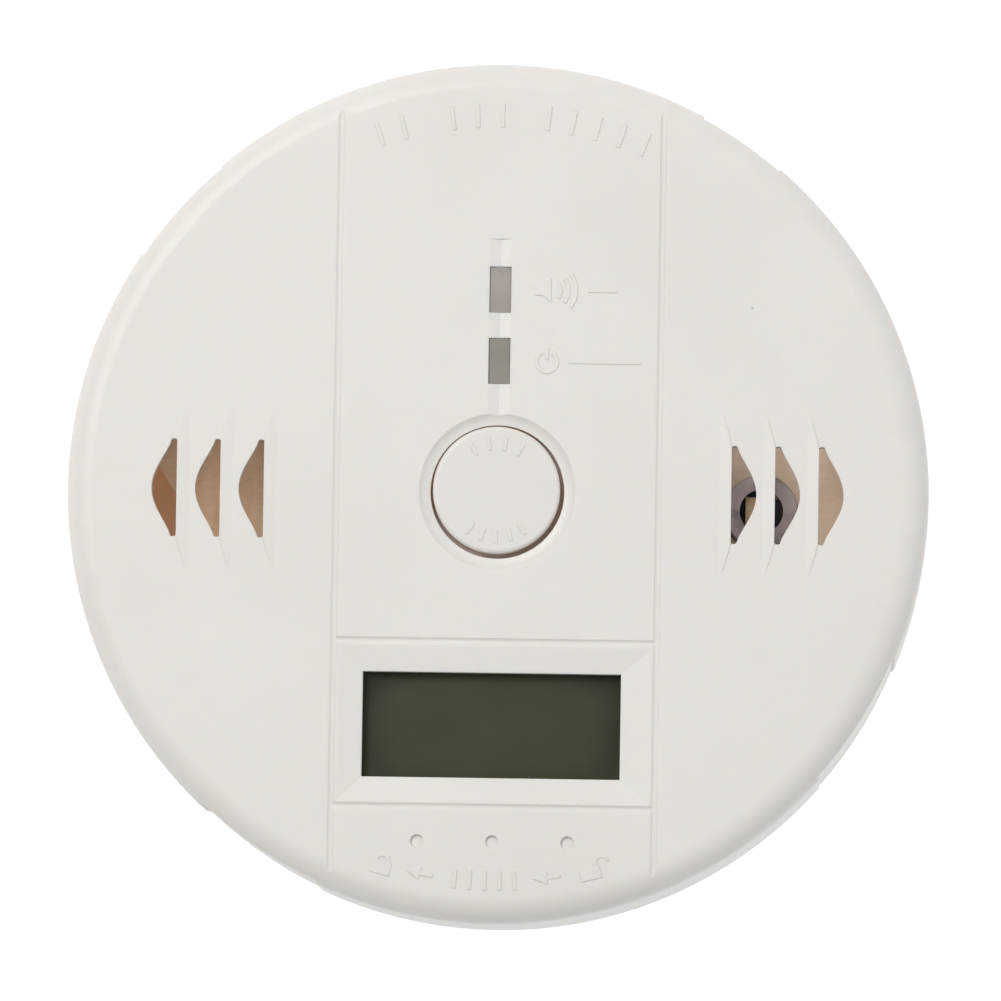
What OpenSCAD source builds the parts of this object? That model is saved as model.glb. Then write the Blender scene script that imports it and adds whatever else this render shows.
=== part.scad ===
// Round carbon monoxide detector with a liquid crystal display, run by three AA cells.
// Millimetres. +Z points out of the front face, +Y is up on the wall, and the origin is
// the centre of the wall plate's back face. The test button is on the Z axis.

/* [Case] */
// Outside diameter of the front cover
case_d = 100; // [96:1:125]
// Wall thickness of the front cover and of the back case
wall = 2; // [1.6:0.1:2.6]
// Rounding of the front edge
edge_r = 3; // [2.4:0.1:4]
// Height of the joint line between the back case and the front cover
part_z = 15; // [14:0.1:18]
// Clear height between the circuit board and the front wall
front_room = 10.8; // [10.8:0.1:18]
// Screws that hold the two halves of the case together: shank diameter
case_screw_d = 2.6; // [2:0.1:3.2]
// Length of the case screws under the head
case_screw_l = 10; // [8:0.5:12]

/* [Wall plate] */
// Thickness of the plate's floor
plate_t = 2.2; // [1.8:0.1:3]
// Height of the plate's rim from the wall
plate_h = 8.5; // [7.5:0.1:9.5]
// Thickness of the plate's rim
rim_t = 1.8; // [1.4:0.1:2.2]
// Room for the heads of the wall screws
head_room = 3.2; // [3:0.1:5]
// Distance between the two screw slots
slot_pitch = 60; // [50:1:64]
// End-to-end length of a screw slot
slot_l = 12; // [8:0.5:14]
// Width of a screw slot
slot_w = 4.5; // [4:0.1:5]
// Turn from the locked to the unlocked position, in degrees
twist = 18; // [12:1:20]

/* [Front face] */
// Diameter of the test button
button_d = 14.75; // [12:0.05:16]
// Distance from the centre line to each long groove
groove_x = 18.7; // [18.4:0.1:21]
// Width of the display window
window_w = 29.9; // [24:0.1:31]
// Height of the display window
window_h = 12.2; // [10:0.1:13]
// Distance of the display window's centre below the button's centre
window_drop = 27.1; // [26:0.1:29]
// Width of the indicator windows
led_w = 2.5; // [2:0.1:3]
// Height of the indicator windows
led_h = 5.35; // [4:0.05:6]
// Distance of the alarm indicator above the button's centre
alarm_y = 23.5; // [23:0.1:25]
// Distance of the operating indicator above the button's centre
operate_y = 15.2; // [14.5:0.1:16]

/* [Louvres] */
// Distance from the centre line to the straight edge of the first louvre
louvre_x = 27.1; // [25:0.1:29]
// Pitch of the three louvres on each side
louvre_pitch = 5.05; // [4.8:0.05:5.6]
// Length of a louvre
louvre_l = 11.35; // [8:0.1:13]
// Width of a louvre at its middle
louvre_w = 2.9; // [2:0.1:3.3]

/* [Cells] */
// Diameter of an AA cell over its wrapper
cell_d = 14.5; // [13:0.1:17.4]
// Length of an AA cell over its positive cap
cell_l = 50.5; // [46:0.5:54]
// Length of a contact spring when it is held by a cell
spring_l = 4.7; // [4:0.1:6]

/* [Circuit board] */
// Thickness of the circuit board
board_t = 1.6; // [1:0.1:2]
// Room under the board for cut leads and screw heads
under_room = 1.8; // [1.8:0.1:3]
// Diameter of the gas sensor's can
sensor_d = 8.5; // [7:0.1:9.6]
// Height of the gas sensor's can
sensor_h = 5.6; // [4:0.1:6]
// Diameter of the sounder
sounder_d = 24; // [18:0.1:26]
// Height of the sounder over its base
sounder_h = 9; // [7:0.1:9.6]
// Side of the square push switch
switch_w = 6; // [5:0.1:7.2]
// Width of the display glass
glass_w = 35; // [33:0.1:36]
// Height of the display's rear glass
glass_h = 20; // [18:0.1:21]

/* [Hidden] */
$fn = 96;
over = 1; // how far a cutting solid stands past the face it cuts
fine_fn = 32; // facets of small hidden turned pieces

// Stack of heights, from the wall to the front face
back_z = plate_t + head_room; // back face of the back case
cell_clear = 0.35; // clearance round a cell in its well
cell_z = back_z + cell_clear + cell_d / 2; // axis of the cells
roof_t = 1.35; // thinnest place of the wells' roof
roof_z = cell_z + cell_d / 2 + cell_clear + roof_t; // top of the well block
board_z = roof_z + under_room; // underside of the circuit board
board_top = board_z + board_t;
inner_z = board_top + front_room; // inner face of the front wall
face_z = inner_z + wall; // the front face

// Plan sizes of the case
case_r = case_d / 2;
plate_r = case_r - 0.7; // the plate stands a little inside the case's outline
drum_r = plate_r - rim_t - 1.1; // drum of the back case inside the plate's rim
skirt_r = case_r - 0.2; // skirt of the back case
flange_z = plate_h + 0.4; // underside of the back case's flange
seam = 0.3; // open joint line between the halves
lip_clear = 0.15; // between the back case's lip and the cover
lip_t = 1.3;
lip_h = 3;
inner_edge_r = max(edge_r - wall, 0.5);
grips = [[56, 12.5], [139, 16], [236.5, 19], [328.5, 19]]; // finger recesses: angle, width
grip_depth = 0.35;

// Case screws, in posts near the rim
post_r = case_r - 8;
post_angles = [90, 210, 330];
post_out = 4; // outer radius of a post of the back case
boss_out = 3.5; // outer radius of a boss of the cover
post_top = part_z - 1.4;
boss_gap = 0.2; // between a post and the boss over it
seat_t = 2.4; // plastic under a screw's head
seat_z = post_top - seat_t;
thread_clear = 0.05; // radial, between a screw and the plastic it has formed
head_r = case_screw_d;
head_h = 1.8;

// Bayonet between the wall plate and the back case
hook_angles = [40, 160, 280];
hook_arc = 12; // width of a hook, in degrees
hook_t = 1.6;
hook_out = drum_r - wall - 0.8;
hook_in = hook_out - hook_t;
hook_reach = 2; // how far a hook's nose goes over the ledge
hook_gap = 0.35; // all round a hook
nose_z = back_z + wall + hook_gap;
nose_t = 1.6;
slack_arc = 0.8; // free turn at each end of a bayonet slot, in degrees

// Button and switch
button_r = button_d / 2;
button_gap = 0.38; // round the button in its hole
hole_r = button_r + button_gap;
button_proud = 0.1; // above the front face
button_rest = [-0.1, 0.2]; // the loose button lies this far off its hole's centre
dish_tool_r = 2.2; // round tool that dishes the rim of the button's hole
dish_lift = 1.6; // height of that tool's centre over the face
collar_h = 1.8; // sleeve behind the button's hole
collar_t = 1.4;
flange_reach = 0.9; // how far the button's flange goes under the sleeve
flange_gap = 0.2;
flange_t = 1;
stroke = 0.3; // travel of the button and of the switch
switch_h = 3.5;
lid_t = 0.3;
plunger_r = 1.75;
plunger_h = 1.6; // of the plunger over the switch's lid
touch_gap = 0.04; // between the button's stem and the plunger
stem_r = 2;

// Grooves and windows of the front face
groove_r = 0.45; // radius of a groove's round tool
groove_depth = 0.22;
groove_above = 9.7; // from the window's centre to the upper cross groove
groove_below = 9.5; // from the window's centre to the lower cross groove
window_x = -0.3;
bevel_depth = 0.3;
bevel_rim = 0.6; // flat left between the bevel and the grooves
channel_depth = 0.2; // of the channel that joins the indicators
channel_top = 29.4;
led_clear = 0.02;
led_sink = 0.25; // the indicators' faces lie this far under the front face
led_body_h = 7;
dimple_d = 1.5;
dimple_depth = 0.4;
dimple_pitch = 8.7;
dimple_y = -40.6;
mark_h = 0.07; // raised marks stand this far over the face
mark_sink = 0.3;
mark_w = 0.42; // line width of the marks

// Louvres: a bell-shaped opening under the edge of a low slanting hood
louvre_tip = 0.7;
louvre_corner = 0.25; // rounding of the tips
louvre_fullness = 0.63;
louvre_points = 24;
hood_h = 0.1;
hood_run = 1.4;
hood_r = 26;
hood_l = 25; // the hood's curved edge runs out to nothing before its ends

// Display stack, from the front wall down
lcd_y = -window_drop - 0.4;
film_t = 0.2;
pane_t = 1.1;
pane_front_h = glass_h - 2.3; // the rear pane carries the contacts on a ledge
backlight_t = 2.8;
lcd_gap = 0.05; // under the front wall
film_z = inner_z - lcd_gap - film_t;
pane_z = film_z - 2 * pane_t;
reflector_z = pane_z - film_t;
backlight_z = reflector_z - backlight_t;
holder_t = 1.1;
holder_z = backlight_z - holder_t;
holder_clear = 0.2;
lcd_top_y = lcd_y + glass_h / 2;
lcd_low_y = lcd_y - glass_h / 2;
pin_n = 12;
pin_pitch = 2.54;
pin_w = 0.5;
pin_t = 0.35;

// Cells and contacts
cell_pitch = cell_d + 1.1;
wrapper_t = 0.15;
cap_r = 2.75;
cap_l = 1;
contact_t = 0.4;
dimple_h = 0.4;
well_r = cell_d / 2 + 0.2;
well_half = (cell_l + spring_l + 2 * contact_t + dimple_h) / 2;
trough_l = 1.3; // open end zone that the contacts slide into
well_wall = 1.2;
block_x = cell_pitch + well_r + well_wall;
block_y = well_half + 1.4;
contact_w = 11;
contact_low = back_z + 0.8;
contact_high = cell_z + cell_d / 2 - 1.8;
tab_w = 3;
tab_z = contact_high - 2.4;
tab_out = 1.6; // how far a solder tab stands out of the well block
cell_turn = [1, -1, 1]; // which way each cell's cap points along Y
spring_wire_r = 0.35;
spring_turns = 3.2;
spring_wide = 4.3;
spring_narrow = 2.7;

// Circuit board and what stands on it
board_r = case_r - 7;
board_cut = 32.1; // distance of the board's straight edge from the centre
board_cut_angle = 212;
boss_clear = 0.7;
lead_stub = 0.9; // leads stand this far out under the board
hole_clear = 0.12; // round a lead in the board
standoff_r = 2.6;
standoffs = [[21, 33], [-36.5, 9.5], [31, -13], [-23, -12]];
board_screw_r = 1.1;
board_screw_l = 6;
board_head_r = 2.2;
board_head_h = 1.5;
sensor_pos = [30.6, -1.6];
sensor_lift = 2.4; // the sensor's base over the board
sensor_base_t = 1.2;
sensor_flange = 0.1; // the base is this much wider than the can
sensor_wall = 0.25;
sensor_hole_r = sensor_d * 0.297;
sensor_pin_r = 0.23;
sounder_pos = [-25.5, 21.5];
sounder_wall = 1.2;
sounder_port_r = 1.5;
sounder_base_t = 1.2;
sounder_lift = 0.3;
disc_r = sounder_d / 2 - sounder_wall - 0.4;
disc_z = board_top + sounder_lift + sounder_base_t + 4.2;
ledge_t = 1;
chip_pos = [17.5, 17];
chip_l = 17.9;
chip_w = 7.5;
chip_h = 2.3;
chip_pitch = 1.27;
chip_legs = 14; // on each long side
inductor_pos = [-8.2, 33.5];
capacitor_list = [[32.5, 14, 3.15, 7], [30.5, 22.5, 2.5, 6.5]]; // x, y, radius, height
transistor_pos = [10.5, 28];
crystal_pos = [21, 25.5];
resistor_list = [[-12, 8], [-12, 4], [-12, 0], [-12, -4], [12, 4], [12, 0], [12, -4], [20, 6]];
wire_r = 0.65;
wire_end = 0.1; // the insulation ends this far under the board

// Leads that go through the board: x, y, radius
switch_lead_spots = [for (sx = [-1, 1], sy = [-1, 1])
    [sx * (switch_w / 2 + 0.35), sy * 2.25, 0.35]];
led_lead_spots = [for (y = [alarm_y, operate_y], sy = [-1, 1]) [0, y + sy * 1.27, 0.25]];
sensor_lead_spots = [for (a = [45 : 90 : 315])
    [sensor_pos[0] + 2.54 * cos(a), sensor_pos[1] + 2.54 * sin(a), sensor_pin_r]];
sounder_lead_spots = [for (s = [-1, 1]) [sounder_pos[0] + s * 5, sounder_pos[1], 0.4]];
lcd_lead_spots = [for (i = [0 : pin_n - 1])
    [(i - (pin_n - 1) / 2) * pin_pitch, lcd_low_y - pin_t / 2 - 0.05, pin_w / 2]];
capacitor_lead_spots = [for (c = capacitor_list, s = [-1, 1]) [c[0] + s * 1.25, c[1], 0.25]];
inductor_lead_spots = [for (s = [-1, 1]) [inductor_pos[0] + s * 2.5, inductor_pos[1], 0.3]];
transistor_lead_spots = [for (s = [-1 : 1])
    [transistor_pos[0] + s * 1.27, transistor_pos[1], 0.22]];
crystal_lead_spots = [for (s = [-1, 1]) [crystal_pos[0] + s * 2.44, crystal_pos[1], 0.22]];
part_lead_spots = concat(capacitor_lead_spots, inductor_lead_spots, transistor_lead_spots,
    crystal_lead_spots);

// Routes of the two battery wires, from the solder tab to the underside of the board
tab_end = block_y + tab_out;
wire_z = tab_z + 1.2;
route_plus = [[cell_pitch, tab_end, wire_z], [cell_pitch + 0.5, tab_end + 2, wire_z],
    [21, 36, 16], [27, 33, 15], [30, 26, 16], [29, 18, 19], [27.5, 13, 21.5],
    [27.3, 12, board_z - 1], [27.3, 12, board_z - wire_end]];
route_minus = [[-cell_pitch, -tab_end, wire_z], [-cell_pitch - 0.5, -tab_end - 2, wire_z],
    [-22, -34.5, 15], [-28, -29, 14], [-30, -21, 16], [-28.5, -13, 19.5],
    [-27.4, -10.5, 21.5], [-27.3, -10, board_z - 1], [-27.3, -10, board_z - wire_end]];

// ---- Helpers ----

// Ring sector about the Z axis: radii r0 to r1, heights z0 to z1, angles a0 to a1.
module sector(r0, r1, z0, z1, a0, a1) {
    rotate([0, 0, a0])
        rotate_extrude(angle = a1 - a0)
            translate([r0, z0])
                square([r1 - r0, z1 - z0]);
}

// Box between two corners.
module block(low, high) {
    translate(low)
        cube(high - low);
}

// Straight wire or pin standing upright from z0 to z1.
module upright(spot, z0, z1) {
    translate([spot[0], spot[1], z0])
        cylinder(h = z1 - z0, r = spot[2], $fn = fine_fn);
}

function unit(v) = v / norm(v);
function tangent(p, i) = unit(p[min(i + 1, len(p) - 1)] - p[max(i - 1, 0)]);
// Side direction of each ring, carried along the path without twist.
function carry(p, i, n) =
    let (t = tangent(p, i), m = unit(n - (n * t) * t))
    i == len(p) - 1 ? [m] : concat([m], carry(p, i + 1, m));
// Point between b and c on the smooth curve through a, b, c and d.
function between(a, b, c, d, t) =
    0.5 * (2 * b + (c - a) * t + (2 * a - 5 * b + 4 * c - d) * t * t
        + (3 * b - a - 3 * c + d) * t * t * t);
// Smooth curve through the points of a route, with n steps between two of them.
function smooth(p, n) = concat(
    [for (i = [0 : len(p) - 2], s = [0 : n - 1])
        between(p[max(i - 1, 0)], p[i], p[i + 1], p[min(i + 2, len(p) - 1)], s / n)],
    [p[len(p) - 1]]);

// Tube of radius r along the points p; n0 is a first side direction.
module sweep(p, r, n0, sides = 8) {
    n = carry(p, 0, n0);
    rings = [for (i = [0 : len(p) - 1], s = [0 : sides - 1])
        let (a = 360 * s / sides)
        p[i] + r * (cos(a) * n[i] + sin(a) * cross(tangent(p, i), n[i]))];
    walls = [for (i = [0 : len(p) - 2], s = [0 : sides - 1], half = [0, 1])
        let (k = i * sides, e = (s + 1) % sides)
        half == 0 ? [k + s, k + sides + s, k + sides + e] : [k + s, k + sides + e, k + e]];
    first = [for (s = [0 : sides - 1]) s];
    last = [for (s = [sides - 1 : -1 : 0]) (len(p) - 1) * sides + s];
    polyhedron(points = rings, faces = concat([first], walls, [last]));
}

// Repeats its children at each case screw.
module at_posts() {
    for (a = post_angles)
        rotate([0, 0, a])
            translate([post_r, 0, 0])
                children();
}

// The finger recesses, cut through everything between z0 and z1.
module grip_cuts(z0, z1) {
    for (g = grips)
        sector(case_r - grip_depth, case_r + over, z0, z1, g[0] - g[1] / 2, g[0] + g[1] / 2);
}

// ---- Wall plate ----

module hook(a) {
    sector(hook_in, hook_out, plate_t / 2, nose_z + nose_t, a - hook_arc / 2, a + hook_arc / 2);
    sector(hook_in - hook_reach, hook_in + hook_t / 2, nose_z, nose_z + nose_t,
        a - hook_arc / 2, a + hook_arc / 2);
}

module wall_slot() {
    run = slot_l / 2 - slot_w / 2;
    for (s = [-1, 1])
        translate([s * run, 0, -over])
            cylinder(h = plate_t + 2 * over, d = slot_w);
    block([-run, -slot_w / 2, -over], [run, slot_w / 2, plate_t + over]);
}

// Arrow sunk in the back face that points up the wall.
module up_arrow() {
    sink = 0.4;
    translate([0, 24, -over])
        linear_extrude(sink + over)
            polygon([[-5, 0], [5, 0], [0, 9]]);
    block([-1.6, 14, -over], [1.6, 24.5, sink]);
}

module mounting_plate() {
    rib_h = 1.2;
    color("gainsboro")
    difference() {
        union() {
            cylinder(h = plate_t, r = plate_r);
            difference() {
                cylinder(h = plate_h, r = plate_r);
                translate([0, 0, plate_t])
                    cylinder(h = plate_h, r = plate_r - rim_t);
            }
            for (a = hook_angles)
                hook(a);
            for (r = [14, 22])
                sector(r, r + 1.2, plate_t / 2, plate_t + rib_h, 0, 360);
        }
        for (s = [-1, 1])
            translate([s * slot_pitch / 2, 0, 0])
                wall_slot();
        up_arrow();
        difference() {
            translate([0, 0, -over])
                cylinder(h = over + 0.3, r = 44);
            translate([0, 0, -2 * over])
                cylinder(h = 4 * over, r = 43);
        }
    }
}

// ---- Back case ----

module back_shell() {
    rotate_extrude()
        polygon([[0, back_z], [drum_r, back_z], [drum_r, flange_z], [skirt_r, flange_z],
            [skirt_r, part_z - seam], [case_r - wall - lip_clear, part_z - seam],
            [case_r - wall - lip_clear, part_z + lip_h],
            [case_r - wall - lip_clear - lip_t, part_z + lip_h],
            [case_r - wall - lip_clear - lip_t, flange_z + wall],
            [drum_r - wall, flange_z + wall], [drum_r - wall, back_z + wall],
            [0, back_z + wall]]);
}

module well(x) {
    translate([x, 0, cell_z])
        rotate([90, 0, 0])
            cylinder(h = 2 * (well_half - trough_l), r = well_r, center = true);
    block([x - well_r, trough_l - well_half, back_z - over],
        [x + well_r, well_half - trough_l, cell_z]);
}

// End zone of the wells, where the contact plates stand.
module troughs() {
    for (s = [-1, 1])
        block([-cell_pitch - well_r, s * well_half - (s > 0 ? trough_l + over : 0), back_z - over],
            [cell_pitch + well_r, s * well_half + (s < 0 ? trough_l + over : 0), contact_high + 0.2]);
}

// Slot for a solder tab, through the end wall of the well block.
module tab_slot(x, s) {
    block([x - tab_w / 2 - 0.1, min(s * (block_y + over), s * (well_half - 0.2)), tab_z - 0.1],
        [x + tab_w / 2 + 0.1, max(s * (block_y + over), s * (well_half - 0.2)),
            tab_z + contact_t + 0.1]);
}

module bayonet_slot(a) {
    narrow_in = hook_in - hook_gap;
    wide_in = narrow_in - hook_reach;
    half = hook_arc / 2 + slack_arc;
    sector(narrow_in, hook_out + hook_gap, back_z - over, back_z + wall + over,
        a - twist - half, a + half);
    sector(wide_in, hook_out + hook_gap, back_z - over, back_z + wall + over,
        a - twist - half, a - twist + half);
}

// Room inside the back case for a hook's nose, from where it enters to where it locks.
module nose_room(a) {
    half = hook_arc / 2 + slack_arc;
    sector(hook_in - hook_reach - hook_gap, hook_out + hook_gap, back_z + wall,
        nose_z + nose_t + hook_gap, a - twist - half, a + half);
}

module well_block() {
    difference() {
        block([-block_x, -block_y, back_z], [block_x, block_y, roof_z]);
        for (a = hook_angles)
            nose_room(a);
    }
}

module back_case() {
    color("whitesmoke")
    difference() {
        union() {
            back_shell();
            well_block();
            at_posts()
                translate([0, 0, back_z])
                    cylinder(h = post_top - back_z, r = post_out);
        }
        for (i = [-1 : 1])
            well(i * cell_pitch);
        troughs();
        tab_slot(cell_pitch, 1);
        tab_slot(-cell_pitch, -1);
        for (a = hook_angles)
            bayonet_slot(a);
        at_posts() {
            translate([0, 0, back_z - over])
                cylinder(h = seat_z - back_z + over, r = head_r + 0.3);
            translate([0, 0, back_z])
                cylinder(h = post_top - back_z + over, r = case_screw_d / 2 + 0.15);
        }
        grip_cuts(flange_z - over, part_z);
    }
}

// ---- Front cover ----

// Section of a round shell with its front edge rounded.
module cap_section(r, top, round_r, low) {
    translate([0, low])
        square([r, top - low - round_r]);
    translate([0, top - round_r - 0.01])
        square([r - round_r, round_r + 0.01]);
    translate([r - round_r, top - round_r])
        circle(r = round_r);
}

module cover_shell() {
    difference() {
        rotate_extrude()
            intersection() {
                cap_section(case_r, face_z, edge_r, part_z);
                translate([0, part_z])
                    square([case_r + over, face_z]);
            }
        rotate_extrude()
            intersection() {
                cap_section(case_r - wall, inner_z, inner_edge_r, part_z - over);
                translate([0, part_z - over])
                    square([case_r, face_z]);
            }
    }
}

function bell(t) = louvre_tip + (louvre_w - louvre_tip)
    * pow(0.5 + 0.5 * cos(180 * abs(t)), louvre_fullness);
louvre_end = louvre_l / 2 - louvre_corner;
louvre_tip_round = [for (a = [180 : -30 : 90])
    [louvre_corner * (1 + cos(a)), louvre_end + louvre_corner * sin(a)],
    for (a = [90 : -30 : 30])
    [louvre_tip + louvre_corner * (cos(a) - 1), louvre_end + louvre_corner * sin(a)]];
louvre_outline = concat(
    louvre_tip_round,
    [for (i = [0 : louvre_points])
        let (t = 1 - 2 * i / louvre_points)
        [bell(t), t * louvre_end]],
    [for (i = [len(louvre_tip_round) - 1 : -1 : 0])
        [louvre_tip_round[i][0], -louvre_tip_round[i][1]]]);

// Repeats its children at each louvre, with +X pointing away from the centre line.
module at_louvres() {
    for (side = [0, 1], i = [0 : 2])
        mirror([side, 0, 0])
            translate([louvre_x + i * louvre_pitch, 0, 0])
                children();
}

module louvre_cut() {
    translate([0, 0, inner_z - over])
        linear_extrude(wall + 2 * over)
            polygon(louvre_outline);
}

// Low slanting hood on the inner side of a louvre, highest along the straight edge.
module louvre_hood() {
    half = louvre_l / 2;
    shift = hood_r - half * half / (2 * hood_r);
    intersection() {
        translate([0, hood_l / 2, face_z])
            rotate([90, 0, 0])
                linear_extrude(hood_l)
                    polygon([[0, -mark_sink], [0, hood_h], [-hood_run, 0],
                        [-hood_run, -mark_sink]]);
        translate([-shift, 0, face_z - over])
            cylinder(h = 2 * over, r = hood_r, $fn = 180);
    }
}

module round_groove(low, high) {
    run = high - low;
    translate([low[0], low[1], face_z + groove_r - groove_depth])
        rotate([-90, 0, 0])
            cylinder(h = norm(run), r = groove_r, $fn = fine_fn);
}

module grooves() {
    upper = groove_above - window_drop;
    lower = -groove_below - window_drop;
    for (s = [-1, 1])
        round_groove([s * groove_x, -case_r], [s * groove_x, case_r]);
    for (y = [upper, lower])
        translate([-groove_x, y, face_z + groove_r - groove_depth])
            rotate([0, 90, 0])
                cylinder(h = 2 * groove_x, r = groove_r, $fn = fine_fn);
}

// Frame of four slanting faces round the display window, with mitred corners.
module window_bevel() {
    left = -groove_x + bevel_rim;
    right = groove_x - bevel_rim;
    top = groove_above - window_drop - bevel_rim;
    low = -groove_below - window_drop + bevel_rim;
    x0 = window_x - window_w / 2;
    x1 = window_x + window_w / 2;
    y0 = -window_drop - window_h / 2;
    y1 = -window_drop + window_h / 2;
    // each slope runs on past the face and past the window's floor
    past = 0.5;
    slope = past / bevel_depth;
    intersection() {
        translate([0, case_r, face_z])
            rotate([90, 0, 0])
                linear_extrude(case_d)
                    polygon([[left + (left - x0) * slope, past], [right + (right - x1) * slope, past],
                        [x1, -bevel_depth], [x0, -bevel_depth]]);
        translate([-case_r, 0, face_z])
            rotate([90, 0, 90])
                linear_extrude(case_d)
                    polygon([[low + (low - y0) * slope, past], [top + (top - y1) * slope, past],
                        [y1, -bevel_depth], [y0, -bevel_depth]]);
    }
    block([x0, y0, inner_z - over], [x1, y1, face_z - bevel_depth / 2]);
}

module led_cuts() {
    for (y = [alarm_y, operate_y])
        block([-led_w / 2, y - led_h / 2, inner_z - over], [led_w / 2, y + led_h / 2, face_z + over]);
    translate([0, channel_top, face_z])
        rotate([90, 0, 0])
            linear_extrude(channel_top - hole_r)
                polygon([[-led_w / 2, 0], [-led_w / 2, over], [led_w / 2, over], [led_w / 2, 0],
                    [0, -channel_depth]]);
}

module button_hole() {
    translate([0, 0, inner_z - collar_h - over])
        cylinder(h = wall + collar_h + 2 * over, r = hole_r);
    rotate_extrude()
        translate([hole_r - 0.15, face_z + dish_lift])
            circle(r = dish_tool_r);
}

// Row of short radial bars on an arc: radius, bar length and angles.
module tick_row(r, l, angles, z) {
    for (a = angles)
        rotate([0, 0, a])
            block([r - l / 2, -mark_w / 2, z - mark_sink], [r + l / 2, mark_w / 2, z + mark_h]);
}

module mark_arc(r, a0, a1) {
    sector(r - mark_w / 2, r + mark_w / 2, face_z - mark_sink, face_z + mark_h, a0, a1);
}

// Loudspeaker with sound waves, beside the alarm indicator.
module sound_mark() {
    z0 = face_z - mark_sink;
    translate([0, 0, z0])
        linear_extrude(mark_sink + mark_h)
            polygon([[0, -0.6], [0.9, -0.6], [1.9, -1.4], [1.9, 1.4], [0.9, 0.6], [0, 0.6]]);
    for (r = [1.4, 2.3, 3.2])
        translate([1.6, 0, 0])
            mark_arc(r, -38, 38);
}

// Ring with a gap and a bar, beside the operating indicator.
module running_mark() {
    translate([1.5, 0, 0])
        mark_arc(1.2, 120, 420);
    block([1.5 - mark_w / 2, 0.2, face_z - mark_sink], [1.5 + mark_w / 2, 1.6, face_z + mark_h]);
}

// Dash that follows a mark.
module dash_mark(x0, x1) {
    block([x0, -mark_w / 2, face_z - mark_sink], [x1, mark_w / 2, face_z + mark_h]);
}

// Padlock; lift raises and shifts one leg of the shackle for the open state.
module lock_mark(open) {
    z0 = face_z - mark_sink;
    z1 = face_z + mark_h;
    block([-1.2, -1.2, z0], [1.2, 0.3, z1]);
    translate([open ? 1.5 : 0, open ? 0.5 : 0.3, 0]) {
        mark_arc(0.75, 0, 180);
        block([-0.96, -0.35, z0], [-0.54, 0.02, z1]);
    }
    if (!open)
        block([0.54, 0.2, z0], [0.96, 0.32, z1]);
}

// Arrow along an arc, pointing clockwise round the face.
module turn_arrow(r, a0, a1) {
    head_arc = 1.7;
    mark_arc(r, a0 + head_arc * 0.6, a1);
    rotate([0, 0, a0])
        translate([r, 0, face_z - mark_sink])
            linear_extrude(mark_sink + mark_h)
                polygon([[0, 0], [-0.75, 1.6], [0.75, 1.6]]);
}

module face_marks() {
    mark_r = case_r - 4.9;
    top_r = case_r - 6.2;
    tick_row(top_r, 2.8, [109, 105.2, 97.6, 93.8, 90, 83, 79.2, 75.4, 71.6, 67.8], face_z);
    translate([4, alarm_y, 0])
        sound_mark();
    translate([10.2, alarm_y, 0])
        dash_mark(0, 3.4);
    translate([4, operate_y, 0])
        running_mark();
    translate([8, operate_y, 0])
        dash_mark(0, 8.4);
    rotate([0, 0, 253.6 - 270])
        translate([0, -mark_r, 0])
            lock_mark(false);
    rotate([0, 0, 284.6 - 270])
        translate([0, -mark_r, 0])
            lock_mark(true);
    turn_arrow(mark_r, 257.4, 261.4);
    tick_row(mark_r, 2.2, [264.6, 266.8, 269, 271.2, 273.4], face_z);
    turn_arrow(mark_r, 276.2, 280.2);
}

module cover_bosses() {
    at_posts()
        translate([0, 0, post_top + boss_gap])
            cylinder(h = inner_z - post_top - boss_gap + 0.2, r = boss_out);
    for (p = standoffs)
        translate([p[0], p[1], board_top])
            cylinder(h = front_room + 0.2, r = standoff_r);
    translate([0, 0, inner_z - collar_h])
        cylinder(h = collar_h + 0.2, r = hole_r + collar_t);
}

module front_cover() {
    color("white")
    difference() {
        union() {
            cover_shell();
            cover_bosses();
            at_louvres()
                louvre_hood();
            face_marks();
        }
        at_louvres()
            louvre_cut();
        grooves();
        window_bevel();
        led_cuts();
        button_hole();
        for (i = [-1 : 1])
            translate([i * dimple_pitch, dimple_y, face_z - dimple_depth])
                cylinder(h = dimple_depth + over, d = dimple_d, $fn = fine_fn);
        at_posts()
            translate([0, 0, post_top])
                cylinder(h = case_screw_l - seat_t + 1, r = case_screw_d / 2 + thread_clear);
        for (p = standoffs)
            translate([p[0], p[1], board_top - over])
                cylinder(h = board_screw_l - board_t + 1 + over,
                    r = board_screw_r + thread_clear, $fn = fine_fn);
        grip_cuts(part_z - over, face_z);
    }
}

// ---- Screws ----

// Pan-head screw with a cross recess; its head's seat is at z = 0 and it points up.
module pan_screw(r, l, hr, hh) {
    difference() {
        union() {
            cylinder(h = l, r = r, $fn = fine_fn);
            translate([0, 0, -hh])
                cylinder(h = hh, r = hr, $fn = 48);
        }
        for (a = [0, 90])
            rotate([0, 0, a])
                block([-hr * 0.62, -0.3, -hh - over], [hr * 0.62, 0.3, -hh * 0.4]);
    }
}

module cover_screws() {
    color("silver")
        at_posts()
            translate([0, 0, seat_z])
                pan_screw(case_screw_d / 2, case_screw_l, head_r, head_h);
}

module board_screws() {
    color("silver")
        for (p = standoffs)
            translate([p[0], p[1], board_z])
                pan_screw(board_screw_r, board_screw_l, board_head_r, board_head_h);
}

// ---- Test button and switch ----

switch_top = board_top + switch_h + lid_t;
plunger_top = switch_top + plunger_h;
cap_top = face_z + button_proud;
cap_t = 1.6;
cap_round = 0.45;
skirt_t = 1.2;
flange_z0 = inner_z - collar_h - flange_gap - flange_t;

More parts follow.
